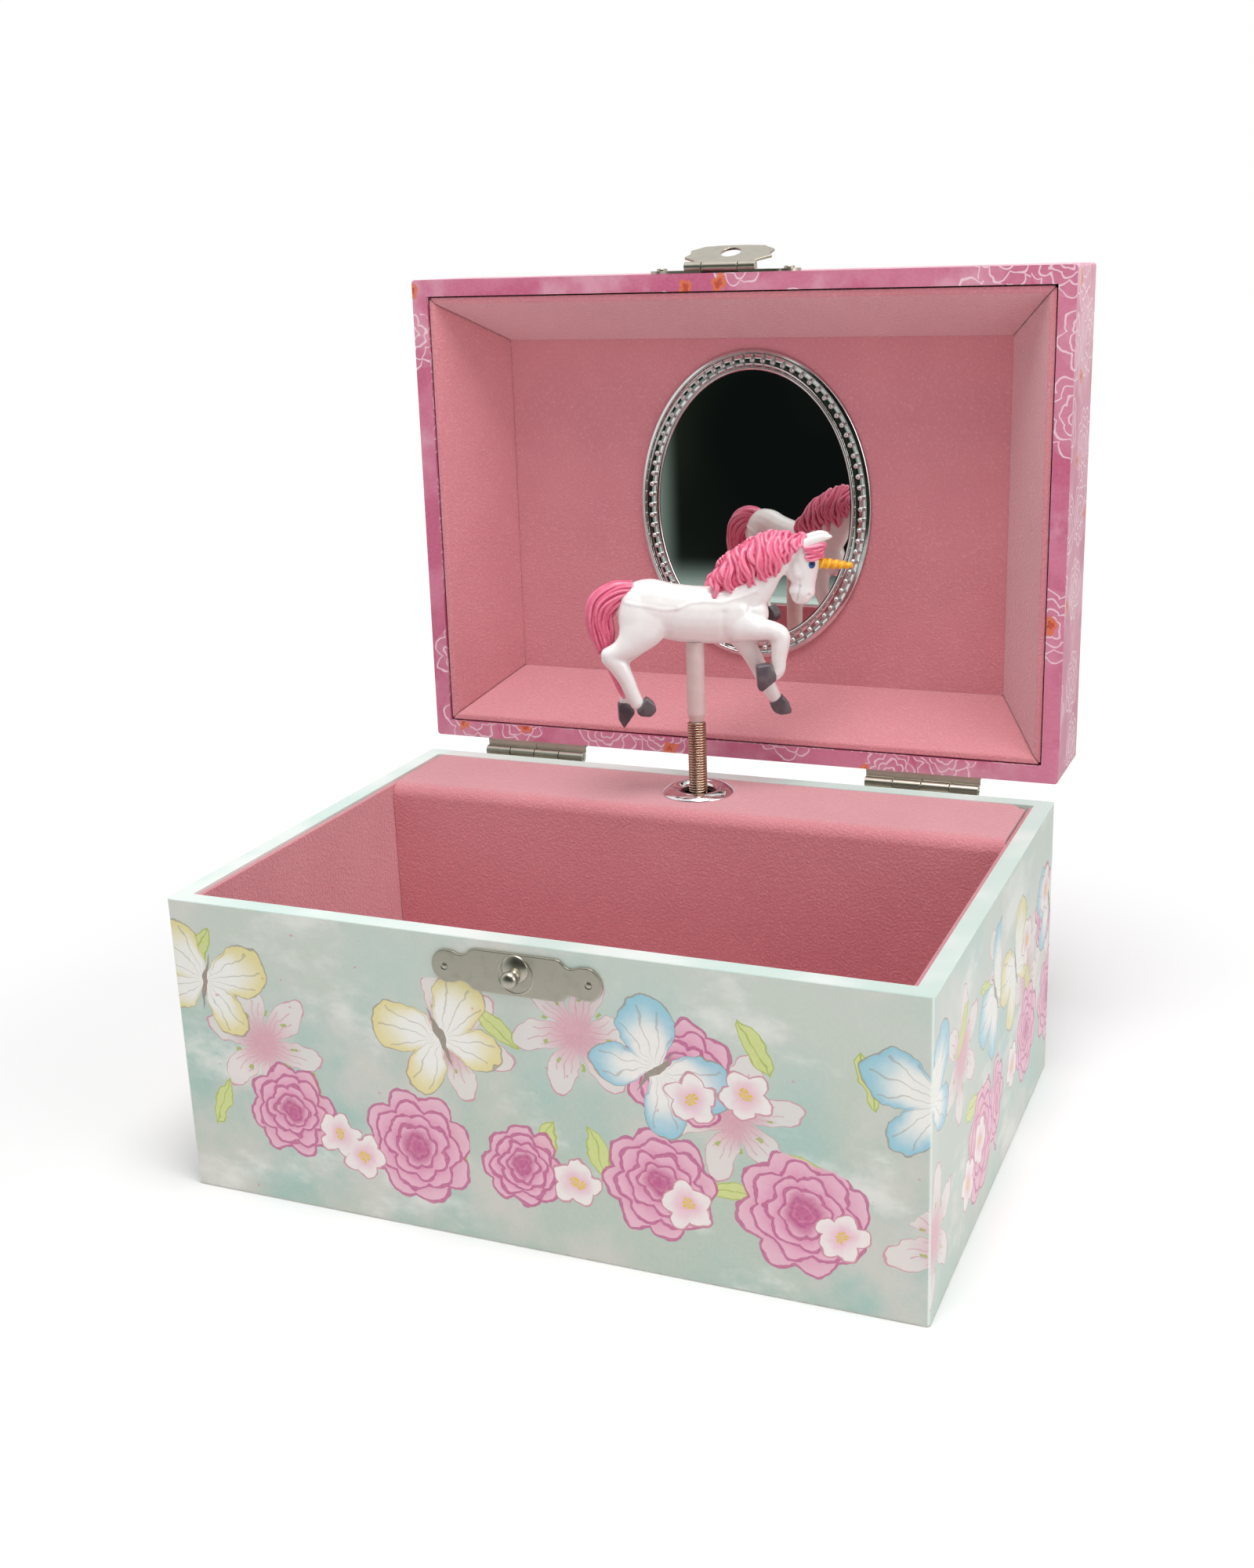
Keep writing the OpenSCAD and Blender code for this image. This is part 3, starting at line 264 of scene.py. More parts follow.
# a scattered motif: every Voronoi cell of a flat pattern holds one
class Scatter:
    def __init__(self, place, motif):
        self.motif = motif
        shift = (motif["shift"], motif["shift"] * 0.37, 0.0)
        self.flat = place.vector("ADD", shift)
        settings = {"voronoi_dimensions": "2D", "feature": "F1"}
        inputs = {"Vector": self.flat, "Scale": 1.0 / motif["step"], "Randomness": motif["loose"]}
        centre = place.node("TexVoronoi", settings, inputs, 2)
        chance = place.node("TexVoronoi", settings, inputs, 1)
        offset = self.flat.vector("SUBTRACT", centre)
        self.across, self.up, unused = offset.parts()
        self.far = offset.vector("LENGTH", output=1)
        self.angle = self.up.maths("ARCTAN2", self.across)
        self.pick = [chance.node("SeparateColor", None, {0: chance}, index) for index in range(3)]
        self.height = centre.vector("SUBTRACT", shift).parts()[1]

    def lean(self, turn):
        across = self.across * turn.maths("COSINE") + self.up * turn.maths("SINE")
        self.up = self.up * turn.maths("COSINE") - self.across * turn.maths("SINE")
        self.across = across

    def petals(self, count, radius, depth, turn=0.0):
        wave = abs((self.angle * (count / 2) + self.pick[0] * 6.28 + turn).maths("COSINE"))
        return (wave * depth + (1 - depth)) * radius

    # some cells stay empty, and motifs keep to their band of the wall
    def shown(self):
        kept = self.pick[1] > self.motif["rare"]
        if "low" in self.motif:
            kept = kept * (self.height > self.motif["low"]) * (self.height < self.motif["high"])
        return kept

    def inside(self, edge):
        return self.far < edge

    def along(self, edge, width):
        return abs(self.far - edge) < width


# an unsteady hand draws the motifs
def shaken(flat, reach):
    shake = flat.node("TexNoise", None, {"Vector": flat, "Scale": 0.22, "Detail": 2.0}, 1)
    return flat.vector("ADD", shake.vector("SUBTRACT", (0.5, 0.5, 0.5)).scaled(reach))


# fine grain in the paper pales the print, roughens it and raises it a little
def paperSkin(made, colour, tint, share):
    grain = made.place.noise(1.6, 3.0, 0.6)
    made.put("Roughness", grain * 0.12 + 0.3)
    made.bump(grain, 0.00003, 0.25)
    return (grain.soft(0.3, 0.75) * share).mix(colour, tint)


# motifs: size of a cell, its shift, looseness, share left empty, band of heights, size of the motif
motifs = {
    "star": {"step": 30.0, "shift": 418.0, "loose": 0.7, "rare": 0.2, "low": 12.0, "high": 52.0,
             "size": 13.0},
    "leaf": {"step": 21.0, "shift": 77.0, "loose": 0.9, "rare": 0.3, "low": 8.0, "high": 54.0, "size": 5.8},
    "rose": {"step": 28.0, "shift": 205.0, "loose": 0.6, "rare": 0.16, "low": 13.0, "high": 42.0, "size": 8.2,
             "spread": 4.4},
    "moth": {"step": 52.0, "shift": 350.0, "loose": 0.5, "rare": 0.2, "low": 15.0, "high": 46.0,
             "size": 14.5},
    "blossom": {"step": 25.0, "shift": 611.0, "loose": 0.85, "rare": 0.42, "low": 10.0, "high": 54.0,
                "size": 5.0},
    "speck": {"step": 5.0, "shift": 19.0, "loose": 1.0, "rare": 0.86, "size": 0.3},
    "bloom": {"step": 18.0, "shift": 130.0, "loose": 0.7, "rare": 0.16, "size": 6.0, "spread": 3.0},
    "dot": {"step": 17.0, "shift": 36.0, "loose": 0.8, "rare": 0.56, "size": 1.9},
}


# the print on the base: a mint watercolour wash with flowers, butterflies and leaves
basePrint = {
    "mint": srgb(180, 193, 180),
    "aqua": srgb(156, 190, 181),
    "sand": srgb(206, 202, 194),
    "cloud": srgb(226, 227, 220),
    "rim": srgb(232, 242, 237),
    "petalPale": srgb(232, 178, 198),
    "petalRose": srgb(216, 126, 166),
    "petalDeep": srgb(190, 78, 132),
    "petalLine": srgb(184, 74, 130),
    "blossom": srgb(240, 232, 228),
    "blossomLine": srgb(196, 120, 140),
    "pollen": srgb(224, 190, 62),
    "star": srgb(232, 220, 217),
    "starHeart": srgb(220, 142, 164),
    "starLine": srgb(206, 130, 150),
    "wing": srgb(240, 238, 232),
    "wingBlue": srgb(140, 196, 214),
    "wingStraw": srgb(226, 212, 142),
    "wingLine": srgb(150, 138, 124),
    "leaf": srgb(206, 214, 120),
    "leafLine": srgb(160, 176, 74),
}


# pale pointed stars with long stamens lie under the flowers
def drawStars(flat, colour):
    star = Scatter(flat, motifs["star"])
    size = motifs["star"]["size"]
    edge = star.petals(6, size, 0.74)
    shown = star.shown()
    ray = abs((star.angle * 15).maths("SINE")) < 0.22
    glow = (star.far / size).soft(0.1, 0.7).mix(basePrint["starHeart"], basePrint["star"])
    colour = (star.inside(edge) * shown * 0.75).mix(colour, glow)
    lines = star.along(edge, 0.2).either(star.inside(edge * 0.72) * ray * (star.far > 2.0) * 0.7)
    colour = (lines * shown * 0.8).mix(colour, basePrint["starLine"])
    pollen = star.far.near(6.4, 0.55) * (abs((star.angle * 4.5).maths("SINE")) < 0.2)
    return (pollen * shown * 0.9).mix(colour, basePrint["leafLine"])


# leaves turn at random and keep to the middle band
def drawLeaves(flat, colour):
    leaf = Scatter(flat, motifs["leaf"])
    leaf.lean(leaf.pick[2] * 6.28)
    aside = abs(leaf.up)
    share = leaf.across / motifs["leaf"]["size"]
    blade = (1 - share * share) * 2.1 - aside
    shown = leaf.shown()
    colour = ((blade > 0) * shown * 0.85).mix(colour, basePrint["leaf"])
    vein = (blade.near(0.16, 0.14) + (aside < 0.12) * (blade > 0)).maths("MINIMUM", 1.0)
    return (vein * shown * 0.8).mix(colour, basePrint["leafLine"])


# large layered flowers in a band
def drawRoses(flat, colour):
    rose = Scatter(flat, motifs["rose"])
    shown = rose.shown()
    size = rose.pick[2] * motifs["rose"]["spread"] + motifs["rose"]["size"]
    for ring, (share, petals) in enumerate(((1.0, 8), (0.79, 7), (0.58, 7), (0.38, 6), (0.19, 5))):
        edge = rose.petals(petals, size * share, 0.17, ring * 1.3)
        inside = rose.inside(edge) * shown
        tone = (rose.far / (size * share)).soft(0.45, 1.0)
        petalInner = basePrint["petalDeep"] if ring > 2 else basePrint["petalRose"]
        petalOuter = basePrint["petalPale"] if ring < 4 else basePrint["petalRose"]
        colour = (inside * 0.92).mix(colour, tone.mix(petalInner, petalOuter))
        colour = (rose.along(edge, 0.34) * shown * 0.85).mix(colour, basePrint["petalLine"])
    return colour


# white butterflies with blue or straw-yellow wing tips
def drawMoths(flat, colour):
    moth = Scatter(flat, motifs["moth"])
    moth.lean((moth.pick[2] - 0.5) * 1.6)
    spread = abs(moth.across.maths("ARCTAN2", moth.up))
    upper = ((spread - 0.98) * 2.0).maths("COSINE").either(0.0) * (spread < 1.76)
    lower = ((spread - 2.24) * 2.4).maths("COSINE").either(0.0) * (spread > 1.6) * 0.76
    edge = upper.maths("POWER", 0.45).either(lower.maths("POWER", 0.45)) * motifs["moth"]["size"]
    shown = moth.shown()
    tint = (moth.pick[0] > 0.5).mix(basePrint["wingBlue"], basePrint["wingStraw"])
    share = moth.far / edge.either(0.01)
    wing = share.soft(0.45, 1.0).mix(basePrint["wing"], tint)
    colour = (moth.inside(edge) * shown * 0.95).mix(colour, wing)
    veins = (abs((spread * 9).maths("SINE")) < 0.16) * moth.inside(edge * 0.9) * (moth.far > 1.4)
    line = (moth.along(edge, 0.2) * (edge > 1.0)).either(veins * 0.6)
    colour = (line * shown * 0.75).mix(colour, basePrint["wingLine"])
    trunk = (abs(moth.across) * 7.5 + abs(moth.up)) < 6.2
    return (trunk * shown).mix(colour, basePrint["wingLine"])


# five-petalled blossoms
def drawBlossoms(flat, colour):
    blossom = Scatter(flat, motifs["blossom"])
    size = motifs["blossom"]["size"]
    edge = blossom.petals(5, size, 0.3)
    shown = blossom.shown()
    petal = (blossom.far / size).soft(0.1, 0.8).mix(basePrint["petalPale"], basePrint["blossom"])
    colour = (blossom.inside(edge) * shown * 0.92).mix(colour, petal)
    colour = (blossom.along(edge, 0.2) * shown * 0.8).mix(colour, basePrint["blossomLine"])
    heart = blossom.inside(1.3) * ((blossom.angle * 7).maths("SINE") > -0.6)
    return (heart * shown).mix(colour, basePrint["pollen"])


# small specks of ink
def drawSpecks(flat, colour):
    speck = Scatter(flat, motifs["speck"])
    return (speck.inside(motifs["speck"]["size"]) * speck.shown() * 0.6).mix(colour, basePrint["starLine"])


def basePrintFinish():
    made = finishFor("printed_wrap", Finish("mintPrint", basePrint["mint"], 0.34, Coat_Weight=0.25,
                                            Coat_Roughness=0.2))
    across, deep, up = made.place.parts()
    facing = abs(made.start.node("TexCoord", output=1).parts()[0]) > 0.7
    # each wall reads its own stretch of the flat pattern
    flat = made.start.node("CombineXYZ", None, {
        0: across * (1 - facing) + (deep + 131.0) * facing + (deep > 0) * 97.0,
        1: up, 2: 0.0})
    outside = (abs(across) > baseHigh.x - 0.25).either(abs(deep) > baseHigh.y - 0.25)
    paper = outside * (up < baseHigh.z - 0.2)

    wash = flat.noise(0.022, 3.0, 0.55)
    patch = flat.vector("ADD", (40.0, 13.0, 7.0)).noise(0.03, 4.0, 0.6)
    cloud = flat.vector("MULTIPLY", (0.7, 1.2, 1.0)).noise(0.05, 5.0, 0.62)
    colour = wash.soft(0.42, 0.64).mix(basePrint["mint"], basePrint["aqua"])
    colour = (patch.soft(0.44, 0.62) * 0.85).mix(colour, basePrint["sand"])
    colour = (cloud.soft(0.52, 0.7) * 0.85).mix(colour, basePrint["cloud"])
    # the wash pales towards the top of each wall
    colour = (up.soft(18.0, 60.0) * 0.34).mix(colour, basePrint["cloud"])

    flat = shaken(flat, 3.2)
    for draw in (drawStars, drawLeaves, drawRoses, drawMoths, drawBlossoms, drawSpecks):
        colour = draw(flat, colour)

    colour = paperSkin(made, colour, basePrint["cloud"], 0.1)
    rim = made.place.noise(0.05, 2.0).soft(0.35, 0.65).mix(basePrint["rim"], srgb(206, 230, 222))
    corner = (abs(across) > baseHigh.x - 0.45) * (abs(deep) > baseHigh.y - 0.45)
    colour = (corner * 0.6).mix(colour, basePrint["rim"])
    made.put("Base Color", paper.mix(rim, colour))


lidPrint = {
    "deep": srgb(200, 94, 132),
    "rose": srgb(212, 122, 152),
    "pale": srgb(222, 158, 178),
    "line": srgb(244, 216, 226),
    "orange": srgb(226, 112, 58),
    "orangeDeep": srgb(196, 74, 40),
}


def lidPrintFinish():
    made = finishFor("pink_wrap", Finish("pinkPrint", lidPrint["rose"], 0.36, Coat_Weight=0.25,
                                         Coat_Roughness=0.2))
    across, deep, up = made.place.parts()
    side, unused, top = made.start.node("TexCoord", output=1).parts()
    side = abs(side) > 0.7
    strip = abs(top) > 0.7
    flat = made.start.node("CombineXYZ", None, {
        0: across * (1 - side) + (deep + 40.0) * side,
        1: up * (1 - strip) + (deep + 300.0) * strip,
        2: 0.0})
    wash = flat.noise(0.05, 3.0, 0.6)
    patch = flat.vector("ADD", (11.0, 71.0, 0.0)).noise(0.055, 4.0, 0.6)
    colour = wash.soft(0.4, 0.6).mix(lidPrint["deep"], lidPrint["rose"])
    colour = (patch.soft(0.5, 0.66) * 0.8).mix(colour, lidPrint["pale"])
    flat = shaken(flat, 3.0)

    bloom = Scatter(flat, motifs["bloom"])
    size = bloom.pick[2] * motifs["bloom"]["spread"] + motifs["bloom"]["size"]
    shown = bloom.shown()
    lines = None
    for ring, (share, petals) in enumerate(((1.0, 8), (0.74, 7), (0.5, 6), (0.27, 5))):
        edge = bloom.petals(petals, size * share, 0.22, ring * 1.1)
        line = bloom.along(edge, 0.2)
        lines = line if lines is None else lines.either(line)
    colour = (bloom.inside(size) * shown * 0.22).mix(colour, lidPrint["pale"])
    colour = (lines * shown * 0.8).mix(colour, lidPrint["line"])

    dot = Scatter(flat, motifs["dot"])
    edge = dot.petals(4, motifs["dot"]["size"], 0.35)
    shown = dot.shown()
    colour = (dot.inside(edge) * shown * 0.9).mix(colour, lidPrint["orange"])
    colour = (dot.inside(edge * 0.5) * shown).mix(colour, lidPrint["orangeDeep"])

    made.put("Base Color", paperSkin(made, colour, lidPrint["line"], 0.08))


# ---- metals and plastics ----
# brush stretches the grain, spread is the reach of the roughness, and the bore's radius marks a hole painted with
# shade inside
metals = {
    "nickel": {"name": "satinNickel", "colour": srgb(182, 176, 163), "roughness": 0.32,
               "brush": (0.3, 3.0, 3.0), "spread": 0.16},
    "bright_ring": {"name": "brightRing", "colour": srgb(230, 227, 227), "roughness": 0.1, "spread": 0.06,
                    "bore": 3.9},
    "steel": {"name": "groundSteel", "colour": srgb(176, 180, 186), "roughness": 0.32,
              "brush": (4.0, 0.4, 4.0)},
    "zinc": {"name": "castZinc", "colour": srgb(178, 178, 174), "roughness": 0.5, "spread": 0.2},
    "brass": {"name": "turnedBrass", "colour": srgb(222, 184, 106), "roughness": 0.28,
              "brush": (0.5, 4.0, 4.0)},
    "mirror_rim": {"name": "rimSilver", "colour": srgb(216, 215, 214), "roughness": 0.12, "spread": 0.06},
    "bead_silver": {"name": "beadSilver", "colour": srgb(232, 231, 230), "roughness": 0.36, "spread": 0.08},
    "spring_wire": {"name": "springWire", "colour": srgb(188, 160, 138), "roughness": 0.24, "spread": 0.1},
}


def metalFinish(slot, name, colour, roughness, brush=(1.0, 1.0, 1.0), spread=0.12, bore=None):
    made = finishFor(slot, Finish(name, colour, roughness, Metallic=1.0))
    brushed = made.place.vector("MULTIPLY", brush).noise(2.2, 4.0, 0.65)
    cloudy = made.place.noise(0.35, 3.0, 0.6)
    dark = tuple(0.72 * value for value in colour[:3]) + (1.0,)
    tone = (cloudy.soft(0.45, 0.8) * 0.5).mix(colour, dark)
    if bore:
        # painted shade darkens the inside of the bore
        offset = made.place.vector("SUBTRACT", (spindle.x, spindle.y, 0.0))
        offset = offset.vector("MULTIPLY", (1.0, 1.0, 0.0))
        tone = offset.vector("LENGTH", output=1).soft(bore - 0.1, bore + 0.1).mix(srgb(52, 44, 40), tone)
    made.put("Base Color", tone)
    made.put("Roughness", brushed * spread + (roughness - spread / 2))
    made.bump(brushed, 0.00002, 0.35)


# the ridge colours are painted shade for the grooves and painted highlight for the ridges
plastics = {
    "white_plastic": {"name": "whitePlastic", "colour": srgb(250, 248, 246), "shade": srgb(247, 244, 241),
                      "roughness": 0.2, "Coat_Weight": 0.6, "Coat_Roughness": 0.06,
                      "Subsurface_Weight": 0.05},
    "pink_plastic": {"name": "pinkPaint", "colour": srgb(236, 108, 142), "shade": srgb(228, 94, 130),
                     "roughness": 0.34, "ridgeShade": (srgb(182, 52, 88), srgb(246, 150, 176))},
    "orange_plastic": {"name": "orangePaint", "colour": srgb(250, 186, 30), "shade": srgb(238, 156, 16),
                       "roughness": 0.3, "ridgeShade": (srgb(206, 112, 12), srgb(254, 206, 66))},
    "hoof_paint": {"name": "hoofPaint", "colour": srgb(112, 104, 108), "shade": srgb(92, 84, 90),
                   "roughness": 0.36},
    "eye_blue": {"name": "eyeBlue", "colour": srgb(48, 110, 178), "shade": srgb(26, 74, 140),
                 "roughness": 0.12},
    "eye_dark": {"name": "eyeDark", "colour": srgb(16, 20, 40), "shade": srgb(8, 10, 20),
                 "roughness": 0.08},
}


def plasticFinish(slot, name, colour, shade, roughness, ridgeShade=None, **fixed):
    made = finishFor(slot, Finish(name, colour, roughness, **fixed))
    paint = made.place.noise(0.5, 3.0, 0.6)
    tone = paint.soft(0.35, 0.7).mix(shade, colour)
    if ridgeShade:
        # painted shade darkens the grooves of the moulded hair and painted highlight lightens its ridges
        height = made.start.node("Attribute", {"attribute_name": "ridgeShade"}, output=2)
        tone = height.soft(0.02, 0.9).mix(tone, ridgeShade[1])
        tone = height.soft(-0.02, -0.8).mix(tone, ridgeShade[0])
    made.put("Base Color", tone)
    skin = made.place.noise(3.0, 2.0)
    made.put("Roughness", skin * 0.06 + (roughness - 0.03))
    made.bump(skin, 0.00001, 0.2)


def mirrorFinish():
    made = finishFor("mirror_silver", Finish("mirrorSilver", srgb(226, 232, 229), 0.02, Metallic=1.0))
    haze = made.place.noise(0.25, 3.0, 0.6)
    made.put("Roughness", haze.soft(0.5, 0.9) * 0.03 + 0.012)
    # the glass's shading normal leans forward by three degrees; the glass itself lies flat in its bed
    made.bump(made.place.parts()[2] * 0.05, 0.001)


def clearFinish():
    made = finishFor("clear_plastic", Finish("milkyPlastic", srgb(236, 216, 214), 0.25, Coat_Weight=0.3,
                                             Subsurface_Weight=0.1))
    haze = made.place.noise(0.3, 2.0)
    made.put("Base Color", haze.soft(0.3, 0.7).mix(srgb(222, 198, 195), srgb(230, 208, 205)))
    made.put("Roughness", haze * 0.1 + 0.18)


flockFinish()
for slot, stuff in fibrous.items():
    fibrousFinish(slot, stuff)
basePrintFinish()
lidPrintFinish()
for slot, metal in metals.items():
    metalFinish(slot, **metal)
mirrorFinish()
clearFinish()
for slot, plastic in plastics.items():
    plasticFinish(slot, **plastic)
print("finishes made:", len(finishes))

slotOf = {part["node"]: part["material_slot"] for part in frame["record"]["subparts"]}
for node, piece in frame["nodes"].items():
    piece.data.materials.clear()
    piece.data.materials.append(finishes[slotOf[node]])


# ---- mesh helpers, in millimetres ----
def meshOf(name, points, faces, turn=None, smooth=True):
    mesh = bpy.data.meshes.new(name)
    turn = turn or Matrix.Identity(4)
    mesh.from_pydata([(turn @ Vector(point)) * mm for point in points], [], faces)
    mesh.update()
    work = bmesh.new()
    work.from_mesh(mesh)
    bmesh.ops.remove_doubles(work, verts=work.verts, dist=1e-7)
    bmesh.ops.recalc_face_normals(work, faces=work.faces)
    work.to_mesh(mesh)
    work.free()
    mesh.polygons.foreach_set("use_smooth", [smooth] * len(mesh.polygons))
    piece = bpy.data.objects.new(name, mesh)
    bpy.context.scene.collection.objects.link(piece)
    return piece


def finishPiece(piece, body, slot, *nodes, material=None):
    piece.data.materials.clear()
    piece.data.materials.append(material or finishes[slot])
    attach(piece, body)
    if nodes:
        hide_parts(*nodes)
    return piece


# modifiers are applied, so that the piece has a plain mesh
def applyModifiers(piece):
    graph = bpy.context.evaluated_depsgraph_get()
    made = bpy.data.meshes.new_from_object(piece.evaluated_get(graph))
    piece.modifiers.clear()
    old = piece.data
    piece.data = made
    bpy.data.meshes.remove(old)


# rings of points joined into a tube, with closed ends or joined to a ring
def loft(rings, ringed=False, capped=True):
    points = [point for ring in rings for point in ring]
    count = len(rings[0])
    faces = []
    for step in range(len(rings) - (0 if ringed else 1)):
        above = (step + 1) % len(rings)
        for spoke in range(count):
            following = (spoke + 1) % count
            faces.append((step * count + spoke, step * count + following,
                          above * count + following, above * count + spoke))
    if capped and not ringed:
        faces.append(tuple(reversed(range(count))))
        faces.append(tuple(range((len(rings) - 1) * count, len(rings) * count)))
    return points, faces


def curveThrough(stations, steps):
    rows = []
    last = len(stations) - 1
    for index in range(last):
        before = stations[max(index - 1, 0)]
        start = stations[index]
        end = stations[index + 1]
        after = stations[min(index + 2, last)]
        for step in range(steps):
            t = step / steps
            rows.append([0.5 * (2 * b + (c - a) * t + (2 * a - 5 * b + 4 * c - d) * t * t
                                + (3 * b - a - 3 * c + d) * t ** 3)
                         for a, b, c, d in zip(before, start, end, after)])
    rows.append(list(stations[-1]))
    return rows


# directions at a point of a path: along it, across it in its plane, and aside
def directions(span):
    along = span.normalized()
    aside = Vector((0, 1, 0))
    aside = (aside - along * along.dot(aside)).normalized()
    return along, along.cross(aside), aside


def ringAt(centre, across, aside, wide, broad, spokes):
    return [centre + across * (wide * math.cos(a)) + aside * (broad * math.sin(a)) for a in angles(spokes)]


# a limb follows stations of [forward, height, sideways, radius in its plane, sideways radius]
def limb(stations, steps=5, spokes=20, cap=4):
    rows = curveThrough(stations, steps)
    rings = []
    for index, row in enumerate(rows):
        ahead = rows[min(index + 1, len(rows) - 1)]
        behind = rows[max(index - 1, 0)]
        span = Vector((ahead[0] - behind[0], ahead[2] - behind[2], ahead[1] - behind[1]))
        rings.append((Vector((row[0], row[2], row[1])), *directions(span), row[3], row[4]))

    # a few shrinking rings round off an end
    def capAt(end, sign, order):
        centre, along, across, aside, wide, broad = rings[end]
        made = []
        for step in order:
            angle = math.pi / 2 * step / (cap + 0.4)
            shift = along * (sign * min(wide, broad) * math.sin(angle))
            made.append(ringAt(centre + shift, across, aside, wide * math.cos(angle),
                               broad * math.cos(angle), spokes))
        return made

    middle = [ringAt(centre, across, aside, wide, broad, spokes)
              for centre, along, across, aside, wide, broad in rings]
    return loft(capAt(0, -1, range(cap, 0, -1)) + middle + capAt(-1, 1, range(1, cap + 1)))


def gather(shapes):
    points = []
    faces = []
    for shapePoints, shapeFaces in shapes:
        start = len(points)
        points.extend(shapePoints)
        faces.extend(tuple(start + index for index in face) for face in shapeFaces)
    return points, faces


def rounded(piece, width):
    bevel = piece.modifiers.new("round", "BEVEL")
    bevel.width = width * mm
    bevel.segments = 3
    bevel.limit_method = "ANGLE"
    applyModifiers(piece)


def melt(piece, voxel, smoothing, factor=0.5):
    remesh = piece.modifiers.new("melt", "REMESH")
    remesh.mode = "VOXEL"
    remesh.voxel_size = voxel * mm
    remesh.use_smooth_shade = True
    relax = piece.modifiers.new("relax", "SMOOTH")
    relax.factor = factor
    relax.iterations = smoothing
    applyModifiers(piece)


# the ridge attribute: above nought on ridges, below it in grooves; the finishes paint shade and highlight from it
def markRidges(piece, reach, rounds=2):
    mesh = piece.data
    neighbours = [[] for vertex in mesh.vertices]
    for edge in mesh.edges:
        first, second = edge.vertices
        neighbours[first].append(second)
        neighbours[second].append(first)
    places = [vertex.co.copy() for vertex in mesh.vertices]
    heights = []
    for vertex, near in zip(mesh.vertices, neighbours):
        middle = sum((places[index] for index in near), Vector()) / max(len(near), 1)
        heights.append((places[vertex.index] - middle).dot(vertex.normal) / (reach * mm))
    for unused in range(rounds):
        heights = [(height + sum(heights[index] for index in near)) / (1 + len(near))
                   for height, near in zip(heights, neighbours)]
    marks = mesh.attributes.new("ridgeShade", "FLOAT", "POINT")
    marks.data.foreach_set("value", heights)


# repeats: a small ball or dome at each spot, made by Geometry Nodes
def dotsAt(name, spots, radius, squash, material, turn=None):
    piece = meshOf(name, spots, [])
    group = bpy.data.node_groups.new(name, "GeometryNodeTree")
    group.interface.new_socket("Geometry", in_out="INPUT", socket_type="NodeSocketGeometry")
    sizeSocket = group.interface.new_socket("Radius", in_out="INPUT", socket_type="NodeSocketFloat")
    group.interface.new_socket("Geometry", in_out="OUTPUT", socket_type="NodeSocketGeometry")
    start = group.nodes.new("NodeGroupInput")
    ball = group.nodes.new("GeometryNodeMeshUVSphere")
    ball.inputs["Segments"].default_value = 20
    ball.inputs["Rings"].default_value = 12
    instances = group.nodes.new("GeometryNodeInstanceOnPoints")
    instances.inputs["Scale"].default_value = squash
    realize = group.nodes.new("GeometryNodeRealizeInstances")
    smooth = group.nodes.new("GeometryNodeSetShadeSmooth")
    paint = group.nodes.new("GeometryNodeSetMaterial")
    paint.inputs["Material"].default_value = material
    end = group.nodes.new("NodeGroupOutput")
    links = group.links
    links.new(start.outputs["Geometry"], instances.inputs["Points"])
    links.new(start.outputs["Radius"], ball.inputs["Radius"])
    links.new(ball.outputs["Mesh"], instances.inputs["Instance"])
    for before, after in zip((instances, realize, smooth, paint), (realize, smooth, paint, end)):
        links.new(before.outputs[0], after.inputs["Geometry"])
    modifier = piece.modifiers.new("dots", "NODES")
    modifier.node_group = group
    modifier[sizeSocket.identifier] = radius * mm
    applyModifiers(piece)
    if turn is not None:
        piece.data.transform(Matrix.Scale(mm, 4) @ turn @ Matrix.Scale(1 / mm, 4))
    return piece


# a copy of a CAD node with its sharp edges rounded
def soften(node, width, body, steps=2, angle=35, shape=None):
    source = frame["nodes"][node]
    piece = bpy.data.objects.new(node + "Soft", source.data.copy())
    bpy.context.scene.collection.objects.link(piece)
    work = bmesh.new()
    work.from_mesh(piece.data)
    if shape:
        for vertex in work.verts:
            vertex.co = shape(vertex.co / mm) * mm
    bmesh.ops.remove_doubles(work, verts=work.verts, dist=1e-6)
    bmesh.ops.dissolve_limit(work, angle_limit=math.radians(1.5), verts=work.verts, edges=work.edges)
    work.to_mesh(piece.data)
    work.free()
    if "custom_normal" in piece.data.attributes:
        piece.data.attributes.remove(piece.data.attributes["custom_normal"])
    piece.data.polygons.foreach_set("use_smooth", [True] * len(piece.data.polygons))
    bevel = piece.modifiers.new("round", "BEVEL")
    bevel.width = width * mm
    bevel.segments = steps
    bevel.limit_method = "ANGLE"
    bevel.angle_limit = math.radians(angle)
    bevel.use_clamp_overlap = True
    bevel.harden_normals = True
    bevel.miter_outer = "MITER_ARC"
    applyModifiers(piece)
    return finishPiece(piece, body, slotOf[node], node)


box = {
    "paperRound": 0.3, "cardRound": 0.22, "trayRound": 0.4, "panelRound": 0.5,
    "trayReach": 0.56,
    # the shelf over the movement, and the strips of it that are moved
    "shelfRise": 0.85, "shelfReach": 1.35, "foldForward": 0.6, "shelfDepth": 3.2, "foldDepth": 3.1,
}


